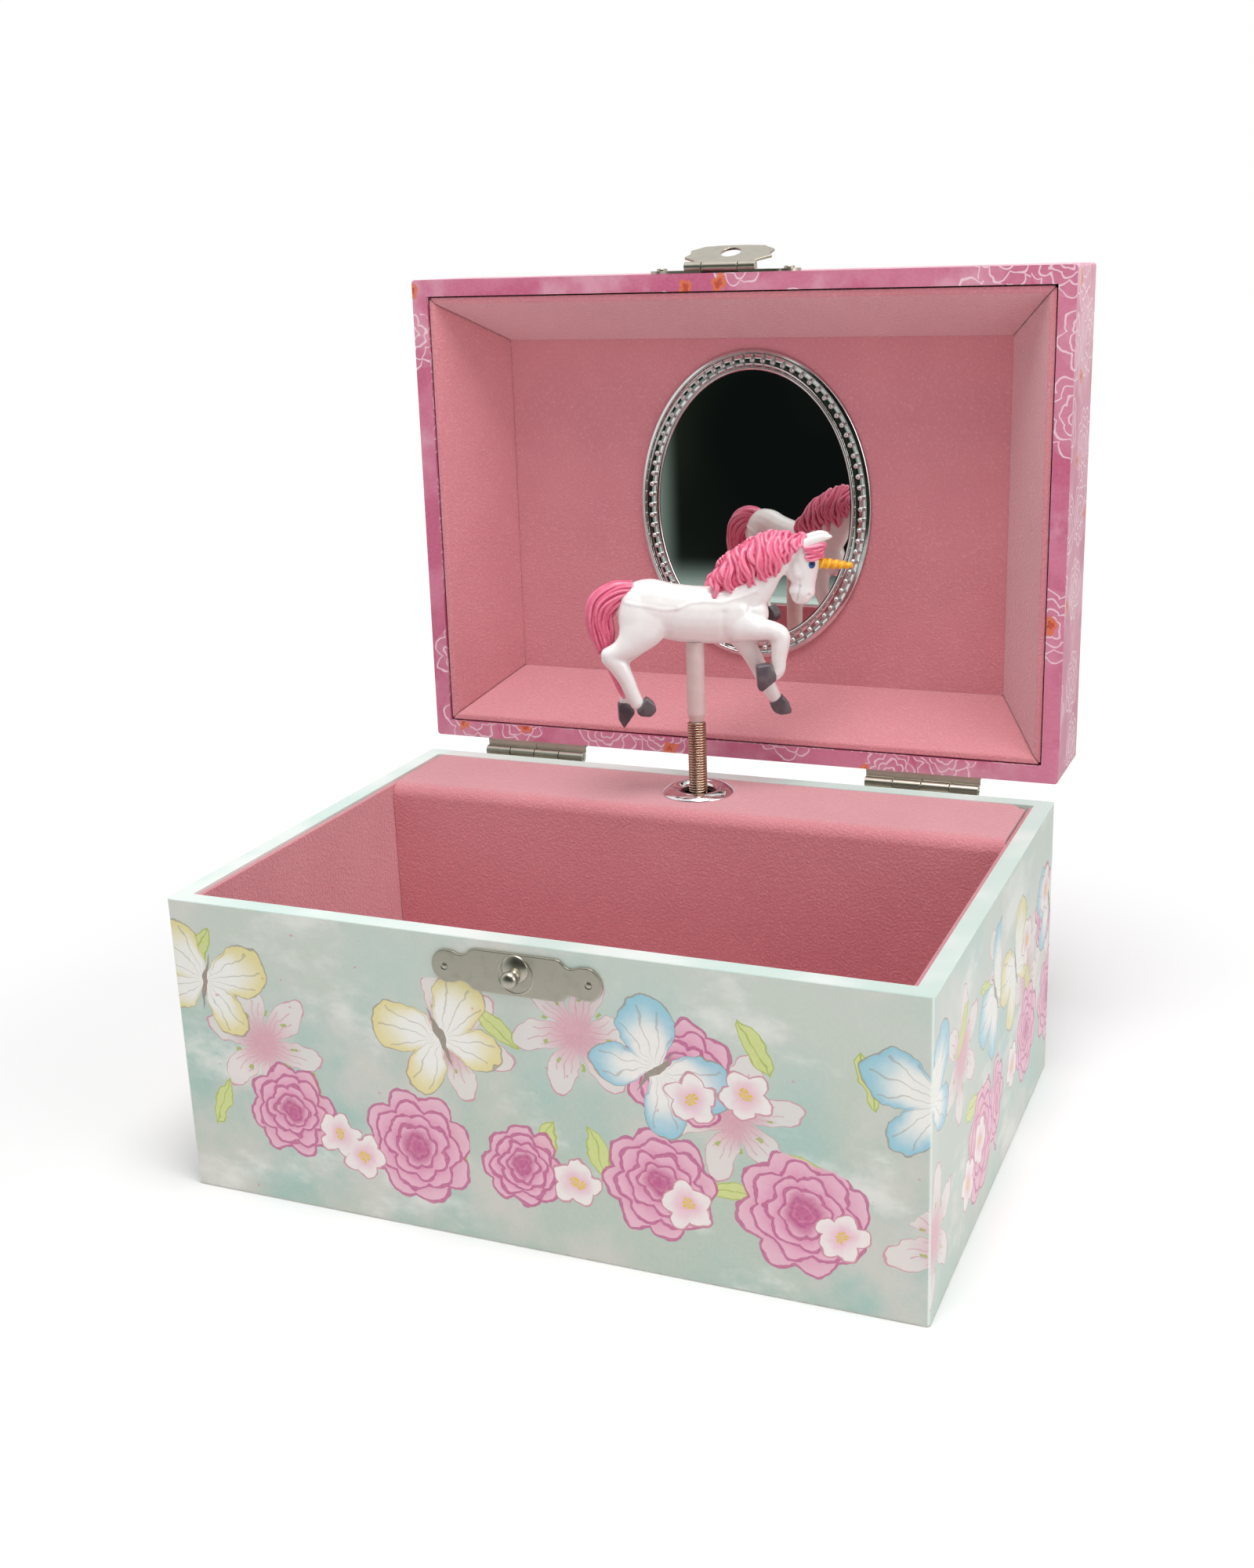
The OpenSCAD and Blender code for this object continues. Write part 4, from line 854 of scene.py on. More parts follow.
def dressBox():
    for node, body in (("base_wrap", "base"), ("lid_wrap", "lid")):
        soften(node, box["paperRound"], body)
    for node in ("floor_pad", "front_lining", "left_lining", "right_lining"):
        soften(node, box["cardRound"], "base", steps=3)
    coverLow, coverHigh = boxOf("movement_cover")

    # the shelf lies level with the rim and fills the box's width
    def level(spot):
        if spot.z > coverHigh.z - box["shelfDepth"]:
            spot.z += box["shelfRise"]
        if spot.y < coverLow.y + box["foldDepth"]:
            spot.y -= box["foldForward"]
        if spot.x > coverHigh.x - 0.1:
            spot.x += box["shelfReach"]
        return spot
    soften("movement_cover", box["cardRound"], "base", steps=3, shape=level)
    low, high = closedBox("lid_side_lining")
    back = lidTurn.inverted()

    # the tray's cards reach almost to the rim
    def reach(spot):
        closed = back @ spot
        if closed.z < low.z + 0.2:
            for k in range(2):
                if abs(closed[k]) > high[k] - 0.2:
                    closed[k] += math.copysign(box["trayReach"], closed[k])
        return lidTurn @ closed
    soften("lid_side_lining", box["trayRound"], "lid", steps=3, shape=reach)
    soften("lid_panel", box["panelRound"], "lid", steps=3)


dressBox()
print("box dressed")


# ---- mirror ----
mirror = {
    # inward from the outer edge, height above the panel
    "profile": [(0, 0), (0, 0.5), (0.12, 0.72), (0.35, 0.84), (0.7, 0.96), (0.92, 1.08), (1.05, 1.08),
                (1.16, 0.9), (1.2, 0.5), (1.3, 0.32), (3.66, 0.32), (3.76, 0.5), (3.8, 0.9), (3.92, 1.08),
                (4.1, 1.1), (4.42, 0.98), (4.64, 0.72), (4.7, 0.5), (4.7, 0)],
    "beads": 76, "beadRadius": 0.58, "beadInset": 2.48, "beadHeight": 0.48, "spokes": 160,
    "fineSteps": 2000,
}


def ovalPoint(centre, half, inset, angle, height):
    return (centre.x + (half.x - inset) * math.cos(angle),
            centre.y + (half.y - inset) * math.sin(angle), height)


def makeMirrorFrame():
    low, high = closedBox("mirror_frame")
    centre, half = (low + high) / 2, (high - low) / 2
    rings = [[ovalPoint(centre, half, inset, angle, high.z - height) for inset, height in mirror["profile"]]
             for angle in angles(mirror["spokes"])]
    finishPiece(meshOf("mirrorRim", *loft(rings, ringed=True), turn=lidTurn), "lid", "mirror_rim",
                "mirror_frame")
    # beads at even steps along the oval
    fine = [ovalPoint(centre, half, mirror["beadInset"], angle, high.z - mirror["beadHeight"])
            for angle in angles(mirror["fineSteps"]) + [2 * math.pi]]
    lengths = [0.0]
    for before, after in zip(fine, fine[1:]):
        lengths.append(lengths[-1] + (Vector(after) - Vector(before)).length)
    spots = []
    place = 0
    for bead in range(mirror["beads"]):
        wanted = lengths[-1] * bead / mirror["beads"]
        while lengths[place + 1] < wanted:
            place += 1
        spots.append(fine[place])
    beads = dotsAt("mirrorBeads", spots, mirror["beadRadius"], (1, 1, 1), finishes["bead_silver"], lidTurn)
    finishPiece(beads, "lid", "mirror_rim", "mirror_frame", material=finishes["bead_silver"])


makeMirrorFrame()
print("mirror made")


# ---- fittings ----
latch = {
    # half of the plate's outline from its middle, then the round ear
    "edge": [(0, 4.1), (8.0, 4.1), (8.8, 3.9), (9.7, 3.0), (10.5, 2.62), (11.5, 2.66), (12.4, 3.1)],
    "ear": 3.3, "earSteps": 12, "length": 33.7, "thick": 0.6, "round": 0.22,
    "headRadius": 0.62, "nailInset": 1.15,
    # radius, distance out of the plate's face
    "dimple": [(0.35, -0.32), (0.85, 0.05), (1.3, 0.5)],
    "dome": [(0, 0.82), (0.8, 0.79), (1.5, 0.66), (2.1, 0.44), (2.5, 0.19), (2.7, 0.02), (2.7, -0.1)],
    "domeRise": 1.2,
    "collar": [(3.3, -0.1), (3.35, 0.05), (3.5, 0.1), (3.7, 0.05), (3.75, -0.1)],
    "stud": [(0, 0.1), (1.3, 0.1), (1.3, 0.9), (1.1, 1.1), (1.1, 1.25), (1.36, 1.5), (1.56, 1.85),
             (1.64, 2.25), (1.58, 2.7), (1.34, 3.1), (0.9, 3.38), (0, 3.5)],
}


# a turned piece: the profile goes round an axis
def lathe(profile, turn, spokes=64):
    return loft([[turn @ Vector((radius * math.cos(a), radius * math.sin(a), height)) for a in angles(spokes)]
                 for radius, height in profile], capped=False)


def platePoints():
    half = latch["length"] / 2
    corner = list(latch["edge"])
    for step in range(1, latch["earSteps"]):
        angle = math.pi / 2 - math.pi * step / latch["earSteps"]
        corner.append((half - latch["ear"] + latch["ear"] * math.cos(angle), latch["ear"] * math.sin(angle)))
    right = corner + [(x, -y) for x, y in reversed(latch["edge"][1:])]
    return right + [(-x, -y) for x, y in right]


# a point of the plate's face, with the Z axis out of it
def outOfPlate(x, z):
    return Matrix.Translation((x, baseLow.y - latch["thick"], z)) @ Matrix.Rotation(math.pi / 2, 4, "X")


def makePlate(middle, nailX):
    rings = [[(middle.x + x, y, middle.z + z) for x, z in platePoints()]
             for y in (baseLow.y, baseLow.y - latch["thick"])]
    piece = meshOf("latchPlate", *loft(rings), smooth=False)
    rounded(piece, latch["round"])
    cutters = []
    for side in (-1, 1):
        turn = outOfPlate(middle.x + side * nailX, middle.z)
        cutters.append(loft([[turn @ Vector((radius * math.cos(a), radius * math.sin(a), height))
                              for a in angles(24)] for radius, height in latch["dimple"]]))
    cutter = meshOf("dimples", *gather(cutters))
    cut = piece.modifiers.new("dimples", "BOOLEAN")
    cut.operation = "DIFFERENCE"
    cut.object = cutter
    applyModifiers(piece)
    bpy.data.objects.remove(cutter)
    finishPiece(piece, "base", "nickel", "latch_plate")


def makeLatch():
    low, high = boxOf("latch_plate")
    studLow, studHigh = boxOf("latch_stud")
    nailLow, nailHigh = boxOf("latch_nails")
    middle = (low + high) / 2
    nailX = (nailHigh.x - nailLow.x) / 2 - latch["nailInset"]
    makePlate(middle, nailX)
    out = outOfPlate(middle.x, (studLow.z + studHigh.z) / 2)
    boss = gather([lathe(latch["dome"], Matrix.Translation((0, 0, latch["domeRise"])) @ out),
                   lathe(latch["collar"], out)])
    finishPiece(meshOf("latchBoss", *boss), "base", "nickel", "latch_plate")
    finishPiece(meshOf("latchStud", *lathe(latch["stud"], out)), "base", "nickel", "latch_stud")
    spots = [(middle.x + side * nailX, baseLow.y - latch["thick"] + 0.12, middle.z) for side in (-1, 1)]
    nails = dotsAt("latchNails", spots, latch["headRadius"], (1, 0.4, 1), finishes["nickel"])
    finishPiece(nails, "base", "nickel", "latch_nails")


ring = {
    "profile": [(3.75, -1.2), (3.75, 0.1), (3.95, 0.42), (4.4, 0.8), (5.0, 1.12), (5.7, 1.3), (6.3, 1.24),
                (6.9, 1.0), (7.5, 0.6), (7.9, 0.3), (8.0, 0.1), (7.95, 0.0)],
    "spokes": 96,
    "collar": [(3.75, -1.2), (3.2, -1.2), (3.2, -0.2), (3.75, 0.1)],
}


def makeRing():
    low, high = boxOf("movement_cover")
    turn = Matrix.Translation((spindle.x, spindle.y, high.z + box["shelfRise"]))
    rim = gather([lathe(ring[key], turn, ring["spokes"]) for key in ("profile", "collar")])
    finishPiece(meshOf("escutcheonRing", *rim), "base", "bright_ring", "escutcheon_ring")


coil = {"wire": 0.6, "turns": 27, "spokes": 8, "steps": 40, "reach": 1.2, "stiffEnd": 1}


# the spring is a wire that winds up
def makeSpring():
    low, high = springLow, springHigh + Vector((0, 0, coil["reach"]))
    centre = (low + high) / 2
    radius = (high.x - low.x) / 2 - coil["wire"] / 2
    rings = []
    total = coil["turns"] * coil["steps"]
    pitch = (high.z - low.z - coil["wire"]) / coil["turns"]
    for step in range(total + 1):
        angle = 2 * math.pi * step / coil["steps"]
        outward = Vector((math.cos(angle), math.sin(angle), 0))
        spot = Vector((centre.x, centre.y, low.z + coil["wire"] / 2 + pitch * step / coil["steps"]))
        spot += outward * radius
        rings.append([spot + (outward * math.cos(a) + Vector((0, 0, 1)) * math.sin(a)) * (coil["wire"] / 2)
                      for a in angles(coil["spokes"])])
    piece = meshOf("figureSpring", *loft(rings))
    piece.data.materials.append(finishes["spring_wire"])
    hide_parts("figure_spring")
    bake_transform(piece)


fittings = {
    "round": 0.14,
    "postRound": 0.3,
    "postGap": 0.12,
    # the strip's width, and its two faces above the hinge's axis
    "strip": 1.82, "stripFaces": (0.76, 1.2),
}


# a strip along each lid leaf closes the slots above the knuckles
def makeStrips():
    rear = baseHigh.y
    under, over = (lidHinge.z + height for height in fittings["stripFaces"])
    edge = rear + fittings["strip"]
    outline = [(rear, under), (rear, over), (edge, over), (edge, under)]
    for node in ("left_hinge_lid_leaf", "right_hinge_lid_leaf"):
        low, high = closedBox(node)
        rings = [[(x, y, z) for y, z in outline] for x in (low.x, high.x)]
        strip = meshOf(node + "Strip", *loft(rings), turn=lidTurn, smooth=False)
        finishPiece(strip, "lid", "nickel", node)


# the post starts where the spring ends
def makePost():
    def lift(spot):
        if springHigh.z - 0.6 < spot.z < springHigh.z + 3:
            spot.z += coil["reach"] + fittings["postGap"]
        return spot
    soften("figure_post", fittings["postRound"], "figure", steps=3, angle=50, shape=lift)


def makeFittings():
    makeLatch()
    makeRing()
    makeSpring()
    for node, body in (("hasp_plate", "lid"), ("hasp_leaf", "hasp"), ("left_hinge_base_leaf", "base"),
                       ("right_hinge_base_leaf", "base"), ("left_hinge_lid_leaf", "lid"),
                       ("right_hinge_lid_leaf", "lid"), ("winding_key", "key")):
        soften(node, fittings["round"], body, angle=50)
    makeStrips()
    makePost()


makeFittings()
print("fittings made")


# ---- the unicorn ----
unicorn = {
    "trunk": [[-15, 26.2, 0, 2.6, 2], [-13.2, 26.6, 0, 5.6, 3.4], [-9.8, 26.6, 0, 6.6, 4.2],
              [-6, 26, 0, 6.2, 4.1], [-2, 25.2, 0, 6.3, 4], [2.5, 24.7, 0, 6.3, 4],
              [7.5, 24.6, 0, 6.4, 4], [11, 24.4, 0, 5.6, 3.6], [13.6, 24.8, 0, 3.6, 2.6]],
    "neck": [[8.5, 27, 0, 5.2, 3.4], [12.5, 30.2, 0, 4.9, 2.9], [16, 34.4, 0, 3.9, 2.5],
             [19.4, 37.2, 0, 3.6, 2.3], [22, 38.2, 0, 2.6, 2]],
    "head": [[22.6, 38, 0, 3, 2.1], [24, 35.5, 0, 3.3, 2.4], [24, 32.8, 0, 2.9, 2.1],
             [23.8, 30.4, 0, 2.65, 1.8], [23.4, 28.5, 0, 2.95, 1.95], [23.2, 27.5, 0, 2.2, 1.6]],
    "nearHind": [[-9.8, 25.4, -1.8, 5.6, 2.5], [-11.8, 22.4, -2.4, 4.8, 2.3], [-13.7, 20.2, -2.7, 3.5, 2],
                 [-16.3, 18.3, -2.8, 2.5, 1.7], [-19.1, 17.5, -2.9, 1.8, 1.5]],
    "haunch": [[-12.7, 28.4, -0.8, 3.4, 3], [-12.6, 26, -1.4, 4, 2.9], [-12.6, 23.2, -2, 4, 2.5],
               [-13.6, 20.7, -2.6, 3.3, 2.1]],
    "nearCannon": [[-18.8, 17.1, -2.9, 2, 1.5], [-16.9, 15, -2.9, 2.1, 1.5], [-15.3, 12, -2.9, 1.8, 1.4],
                   [-14.1, 8.8, -2.9, 1.65, 1.35], [-13, 6.4, -2.9, 1.55, 1.3]],
    "farHind": [[-9.6, 24.4, 1.8, 5.4, 2.5], [-11.4, 21, 2.5, 4.4, 2.1], [-14.2, 17.4, 2.8, 2.8, 1.7],
                [-16.6, 15, 2.9, 1.9, 1.5]],
    "farCannon": [[-16.2, 14.8, 2.9, 1.9, 1.5], [-14.9, 11, 2.9, 1.5, 1.35], [-14.9, 7.8, 2.9, 1.25, 1.3],
                  [-15.4, 5.6, 2.9, 1.25, 1.3]],
    "nearArm": [[9.2, 22.6, -1.8, 4, 2.4], [13.2, 21.6, -2.5, 2.7, 1.9], [16.2, 21.1, -2.7, 2.2, 1.7],
                [18.1, 19.8, -2.7, 2.3, 1.7], [18.2, 17.6, -2.7, 2.05, 1.6], [17.9, 14.7, -2.7, 1.7, 1.4],
                [17.8, 12.4, -2.7, 1.5, 1.3], [17.1, 11.2, -2.7, 1.3, 1.2]],
    "farArm": [[9.8, 21, 1.6, 3.8, 2.2], [11.6, 17, 2.4, 2.4, 1.7], [13.3, 13.8, 2.6, 2, 1.5],
               [15.6, 9, 2.6, 1.8, 1.4], [17, 6.2, 2.6, 1.65, 1.4], [17.7, 4.9, 2.6, 1.5, 1.35]],
    "ear": [[22.8, 38.6, 1.6, 1.1, 0.9], [25, 39.8, 1.8, 1.15, 0.85], [27.8, 40.6, 1.9, 0.95, 0.7],
            [29.4, 40.6, 1.8, 0.5, 0.45]],
    "cheek": [[21.6, 34.6, 0, 2.2, 2.1], [22.2, 33, 0, 2.3, 2.2]],
    "voxel": 0.28,
    "creases": [[(-4.4, 26.6), (-5.2, 24), (-6.2, 21.6)], [(6, 25.6), (5.7, 22.8), (6.1, 19.8)],
                [(13, 28.8), (11.7, 25.8), (13.6, 23.5)], [(20.6, 35.4), (20.9, 32.6), (21.8, 31)]],
    "seam": [(-14.9, 28.8), (-9.6, 27.8), (-7, 27.1), (-4.3, 27), (-1, 28.2), (2.2, 28.3), (5.5, 27.9),
             (9.8, 28.8), (12.6, 29.7)],
    "mouth": [(22.7, 30.2), (22.3, 28.6), (22.1, 27)],
    "nostril": (24.7, 28.1),
    "eye": (25.3, 34.9),
    # height and width of each line in the skin
    "relief": {"seam": (0.16, 0.35), "crease": (-0.26, 0.75), "mouth": (-0.5, 0.26),
               "nostril": (-0.55, 0.42)},
    "smoothing": 9,
}

hooves = {
    "thick": 1.45,
    "bevel": 0.5,
    "outlines": [
        (-2.9, [(-11.1, 8), (-9.3, 6.5), (-9, 4.9), (-10.3, 3.6), (-12.6, 3.9), (-13.4, 4.9)]),
        (2.9, [(-17, 5.4), (-15.1, 5.8), (-13.2, 3.3), (-15.8, -0.3), (-16.9, 1.8)]),
        (-2.7, [(12.9, 13.6), (16, 14), (17.2, 11.6), (17.1, 10.2), (14, 7.8), (13.2, 8.4)]),
        (2.6, [(16.5, 3.5), (19.3, 5.5), (20.7, 3.8), (21.3, 2.1), (21.2, 1.3), (19, 1), (17.4, 1.7)]),
    ],
}


def segmentGap(point, path):
    best = 1e9
    for start, end in zip(path, path[1:]):
        start, end = Vector(start), Vector(end)
        span = end - start
        share = max(0.0, min(1.0, (point - start).dot(span) / span.length_squared))
        best = min(best, (point - start - span * share).length)
    return best


def relief(kind, gap):
    height, width = unicorn["relief"][kind]
    return height * math.exp(-(gap / width) ** 2)


def makeUnicornBody():
    shapes = [limb(unicorn[key]) for key in ("trunk", "neck", "head", "cheek", "nearHind", "haunch",
                                             "nearCannon", "farHind", "farCannon", "nearArm", "farArm")]
    for side in (-1, 1):
        shapes.append(limb([[u, h, side * s, a, b] for u, h, s, a, b in unicorn["ear"]]))
    piece = meshOf("unicornBody", *gather(shapes))
    melt(piece, unicorn["voxel"], unicorn["smoothing"])
    normals = [vertex.normal.copy() for vertex in piece.data.vertices]
    places = []
    for vertex, normal in zip(piece.data.vertices, normals):
        spot = vertex.co / mm
        flat = Vector((spot.x, spot.z))
        push = 0.0
        if abs(spot.y) > 1.5:
            push += relief("seam", segmentGap(flat, unicorn["seam"]))
            for crease in unicorn["creases"]:
                push += relief("crease", segmentGap(flat, crease))
        if spot.x > 20 and spot.z < 31:
            push += relief("mouth", segmentGap(flat, unicorn["mouth"]))
            push += relief("nostril", (flat - Vector(unicorn["nostril"])).length)
        places.extend(vertex.co + normal * (push * mm))
    piece.data.vertices.foreach_set("co", places)
    piece.data.transform(Matrix.Translation(figureTurn.translation * mm) @ Matrix.Rotation(heading, 4, "Z"))
    return finishPiece(piece, "figure", "white_plastic", "unicorn_body")


def makeHooves():
    shapes = []
    for side, outline in hooves["outlines"]:
        faces = (side - hooves["thick"], side + hooves["thick"])
        shapes.append(loft([[(u, face, h) for u, h in outline] for face in faces]))
    piece = meshOf("hooves", *gather(shapes), turn=figureTurn)
    rounded(piece, hooves["bevel"])
    piece.data.polygons.foreach_set("use_smooth", [True] * len(piece.data.polygons))
    finishPiece(piece, "figure", "hoof_paint")


# name, slot, radius, depth, how far out of the face, how far up
eyeParts = [("eyes", "eye_blue", 0.8, 0.3, 0.03, 0.0), ("pupils", "eye_dark", 0.46, 0.3, 0.13, 0.2)]


def makeEyes(body):
    tree = BVHTree.FromPolygons([vertex.co[:] for vertex in body.data.vertices],
                                [polygon.vertices[:] for polygon in body.data.polygons])
    u, h = unicorn["eye"]
    for name, slot, radius, depth, out, up in eyeParts:
        shapes = []
        for side in (-1, 1):
            start = figureTurn @ Vector((u, side * 8, h + up)) * mm
            inward = (figureTurn.to_3x3() @ Vector((0, -side, 0))).normalized()
            spot, normal, unused, distance = tree.ray_cast(start, inward)
            facing = normal.to_track_quat("Z", "Y").to_matrix().to_4x4()
            turn = Matrix.Translation(spot / mm + normal * out) @ facing
            rings = []
            for step in range(7):
                angle = math.pi * (step + 0.5) / 7
                rings.append([turn @ Vector((radius * math.sin(angle) * math.cos(a),
                                             radius * 1.1 * math.sin(angle) * math.sin(a),
                                             depth * math.cos(angle)))
                              for a in angles(20)])
            shapes.append(loft(rings))
        finishPiece(meshOf(name, *gather(shapes)), "figure", slot)


horn = {
    "base": (26.6, 34.9), "tip": (34.6, 33.8), "radius": 1.25, "tipRadius": 0.6,
    "ribs": 5.5, "groove": 0.17, "round": 0.94, "steps": 60, "spokes": 24,
}


def makeHorn():
    start = Vector((horn["base"][0], 0, horn["base"][1]))
    end = Vector((horn["tip"][0], 0, horn["tip"][1]))
    along = (end - start).normalized()
    across = Vector((0, 1, 0))
    upward = along.cross(across)
    rings = []
    for step in range(horn["steps"] + 1):
        t = step / horn["steps"]
        wide = horn["radius"] + (horn["tipRadius"] - horn["radius"]) * t ** 1.3
        if t > horn["round"]:
            wide *= math.sqrt(max(0.02, 1 - ((t - horn["round"]) / (1 - horn["round"])) ** 2))
        ring = []
        for angle in angles(horn["spokes"]):
            rib = horn["groove"] * math.sin(angle + t * horn["ribs"] * 2 * math.pi) * (1 - 0.5 * t)
            outward = across * math.cos(angle) + upward * math.sin(angle)
            ring.append(start.lerp(end, t) + outward * (wide + rib))
        rings.append(ring)
    piece = meshOf("unicornHorn", *loft(rings), turn=figureTurn)
    markRidges(piece, 0.05)
    finishPiece(piece, "figure", "orange_plastic", "unicorn_horn")


# a hair strand: a thin tapered tube through points, waving across its own path
def strand(points, radius, wave, phase, steps=7, spokes=7):
    rows = curveThrough([list(point) for point in points], steps)
    rings = []
    last = len(rows) - 1
    for index, row in enumerate(rows):
        ahead = Vector(rows[min(index + 1, last)])
        behind = Vector(rows[max(index - 1, 0)])
        along, across, aside = directions(ahead - behind)
        t = index / last
        centre = Vector(row) + across * (wave * math.sin(phase + t * hair["waves"]))
        swell = 0.55 + 0.75 * math.sin(math.pi * min(1.0, 0.2 + t * 0.72))
        thinning = 1.0 if t < 0.8 else 1.25 - 1.2 * (t - 0.6)
        wide = max(hair["thinnest"], radius * swell * thinning)
        rings.append(ringAt(centre, across, aside, wide, wide, spokes))
    return loft(rings)


hair = {
    "crest": [(24.4, 40.6), (20.6, 41.6), (17.2, 42), (13.6, 40.8), (10.2, 39.2), (7, 37), (5, 33.8)],
    "hem": [(22.4, 38.4), (20.2, 35.8), (17.9, 33.2), (15.2, 32.2), (12.2, 31.2), (7.6, 29.6), (4.2, 28.2)],
    "bulk": [[22.8, 39.4, 0, 1.7, 2.1], [19.6, 38.8, 0, 3, 2.7], [15.8, 37, 0, 4.4, 3],
             [11.4, 34.9, 0, 4.5, 3.1], [7.8, 32.4, 0, 3.6, 3.1], [5.4, 30.4, 0, 2, 2.2]],
    "strands": 30, "tailStrands": 20, "forelockStrands": 5,
    "radius": 0.56, "forelockRadius": 0.42, "thinnest": 0.12,
    "wave": 0.42, "tailWave": 0.26, "forelockWave": 0.2, "waves": 9.0,
    "maneSeed": 7, "tailSeed": 21, "bulge": 3.3, "bulgeLoss": 1.1,
    # share of a strand's length, share of the bulge
    "sag": [(0.22, 0.62), (0.5, 0.98), (0.78, 1.0), (1.0, 0.86)],
    "voxel": 0.17, "ridgeShade": 0.012,
    "tailBulk": [[-12.8, 30.8, 0, 1.5, 1.4], [-16.2, 30.2, 0, 2.2, 1.7], [-19.5, 28, 0, 2.7, 1.8],
                 [-20.5, 24.8, 0.2, 2.6, 1.6], [-20, 21.4, 0.5, 2.2, 1.4], [-19.4, 18.4, 0.8, 1.2, 1]],
    "wisp": [[-20, 20, 0.8, 1.1, 1], [-18.7, 15.5, 1.4, 1.1, 0.9], [-17.1, 11.6, 1.6, 1.1, 0.8],
             [-16.2, 8.8, 1.6, 0.9, 0.7], [-15.7, 7, 1.6, 0.4, 0.4]],
}


def pathPoint(path, share):
    place = share * (len(path) - 1)
    index = min(int(place), len(path) - 2)
    return Vector(path[index]).lerp(Vector(path[index + 1]), place - index)


def makeMane():
    chance = random.Random(hair["maneSeed"])
    shapes = [limb(hair["bulk"])]
    for side in (-1, 1):
        for index in range(hair["strands"]):
            share = (index + chance.uniform(-0.3, 0.3)) / (hair["strands"] - 1)
            share = min(1.0, max(0.0, share))
            top = pathPoint(hair["crest"], share)
            low = pathPoint(hair["hem"], min(1.0, share + chance.uniform(0.0, 0.06)))
            end = top.lerp(low, chance.uniform(0.78, 1.08))
            bulge = hair["bulge"] - hair["bulgeLoss"] * abs(share - 0.45)
            path = [(top.x, side * 0.2, top.y)]
            for t, out in hair["sag"]:
                spot = top.lerp(end, t)
                path.append((spot.x - 0.9 * math.sin(math.pi * t), side * bulge * out, spot.y))
            shapes.append(strand(path, hair["radius"] * chance.uniform(0.75, 1.2), hair["wave"],
                                 chance.uniform(0, 6.3)))
    # the forelock sweeps from between the ears over each temple
    for side in (-1, 1):
        for index in range(hair["forelockStrands"]):
            h = 38.9 - 0.66 * index
            front = 28.4 - 0.16 * index
            path = [(front, side * 0.2, h), (front - 0.5, side * 1.5, h - 0.1),
                    (front - 2.4, side * 2.45, h - 0.15), (23.2 + 0.15 * index, side * 2.55, h - 0.1)]
            shapes.append(strand(path, hair["forelockRadius"], hair["forelockWave"], index * 1.9))
    shapes.append(limb([[25.6, 38.2, 0, 1.6, 1.9], [27, 37.3, 0, 1.1, 1.5]]))
    piece = meshOf("unicornMane", *gather(shapes), turn=figureTurn)
    melt(piece, hair["voxel"], 1, 0.3)
    markRidges(piece, hair["ridgeShade"])
    finishPiece(piece, "figure", "pink_plastic", "unicorn_mane")


def makeTail():
    chance = random.Random(hair["tailSeed"])
    bulk = hair["tailBulk"]
    shapes = [limb(bulk), limb(hair["wisp"])]
    for index in range(hair["tailStrands"]):
        angle = 2 * math.pi * (index + chance.uniform(-0.2, 0.2)) / hair["tailStrands"]
        path = []
        for place, (u, h, side, wide, broad) in enumerate(bulk):
            ahead = bulk[min(place + 1, len(bulk) - 1)]
            behind = bulk[max(place - 1, 0)]
            along = Vector((ahead[0] - behind[0], ahead[1] - behind[1])).normalized()
            reach = 0.96 * wide * math.cos(angle)
            path.append((u - along.y * reach, side + broad * 0.98 * math.sin(angle), h + along.x * reach))
        end = Vector(path[-1]) + Vector((chance.uniform(-1.2, 0.5), 0, chance.uniform(-1.5, 0.4)))
        path.append(tuple(end))
        shapes.append(strand(path, hair["radius"] * chance.uniform(0.8, 1.2), hair["tailWave"],
                             chance.uniform(0, 6.3)))
    piece = meshOf("unicornTail", *gather(shapes), turn=figureTurn)
    melt(piece, hair["voxel"], 1, 0.3)
    markRidges(piece, hair["ridgeShade"])
    finishPiece(piece, "figure", "pink_plastic", "unicorn_tail")


body = makeUnicornBody()
makeHooves()
makeEyes(body)
makeHorn()
makeMane()
makeTail()
print("unicorn made")


# ---- camera, lights, floor ----
camera = {
    "turn": math.radians(23.342), "rise": math.radians(17.206), "roll": math.radians(-2.12),
    "distance": 351.99, "target": (4.3, -11.62, 78.87), "focus": 2325.6, "frameHeight": 2000.0,
}


def makeCamera():
    turn, rise, roll = camera["turn"], camera["rise"], camera["roll"]
    back = Vector((math.sin(turn) * math.cos(rise), -math.cos(turn) * math.cos(rise), math.sin(rise)))
    right = (-back).cross(Vector((0, 0, 1))).normalized()
    upward = right.cross(-back)
    tilted = right * math.cos(roll) + upward * math.sin(roll)
    upright = upward * math.cos(roll) - right * math.sin(roll)
    data = bpy.data.cameras.new("camera")
    data.sensor_fit = "VERTICAL"
    data.sensor_height = 36.0
    data.lens = camera["focus"] / camera["frameHeight"] * data.sensor_height
    data.clip_start = 0.01
    eye = bpy.data.objects.new("camera", data)
    place = (Vector(camera["target"]) + back * camera["distance"]) * mm
    pose = Matrix((tilted, upright, back)).transposed().to_4x4()
    pose.translation = place
    eye.matrix_world = pose
    bpy.context.scene.collection.objects.link(eye)
    bpy.context.scene.camera = eye


# name, place in metres, width, power
lamps = [
    ("overhead", (0.12, -0.16, 0.95), 0.5, 5.9),
    ("front", (-0.35, -1.0, 0.55), 0.8, 1.2),
    ("right", (1.0, -0.25, 0.45), 0.7, 2.6),
]


def makeLamp(name, place, size, power, target=(0, 0, 0.08)):
    data = bpy.data.lights.new(name, "AREA")
    data.shape = "DISK"
    data.size = size
    data.energy = power
    lamp = bpy.data.objects.new(name, data)
    lamp.location = place
    lamp.rotation_euler = (Vector(place) - Vector(target)).to_track_quat("Z", "Y").to_euler()
    bpy.context.scene.collection.objects.link(lamp)


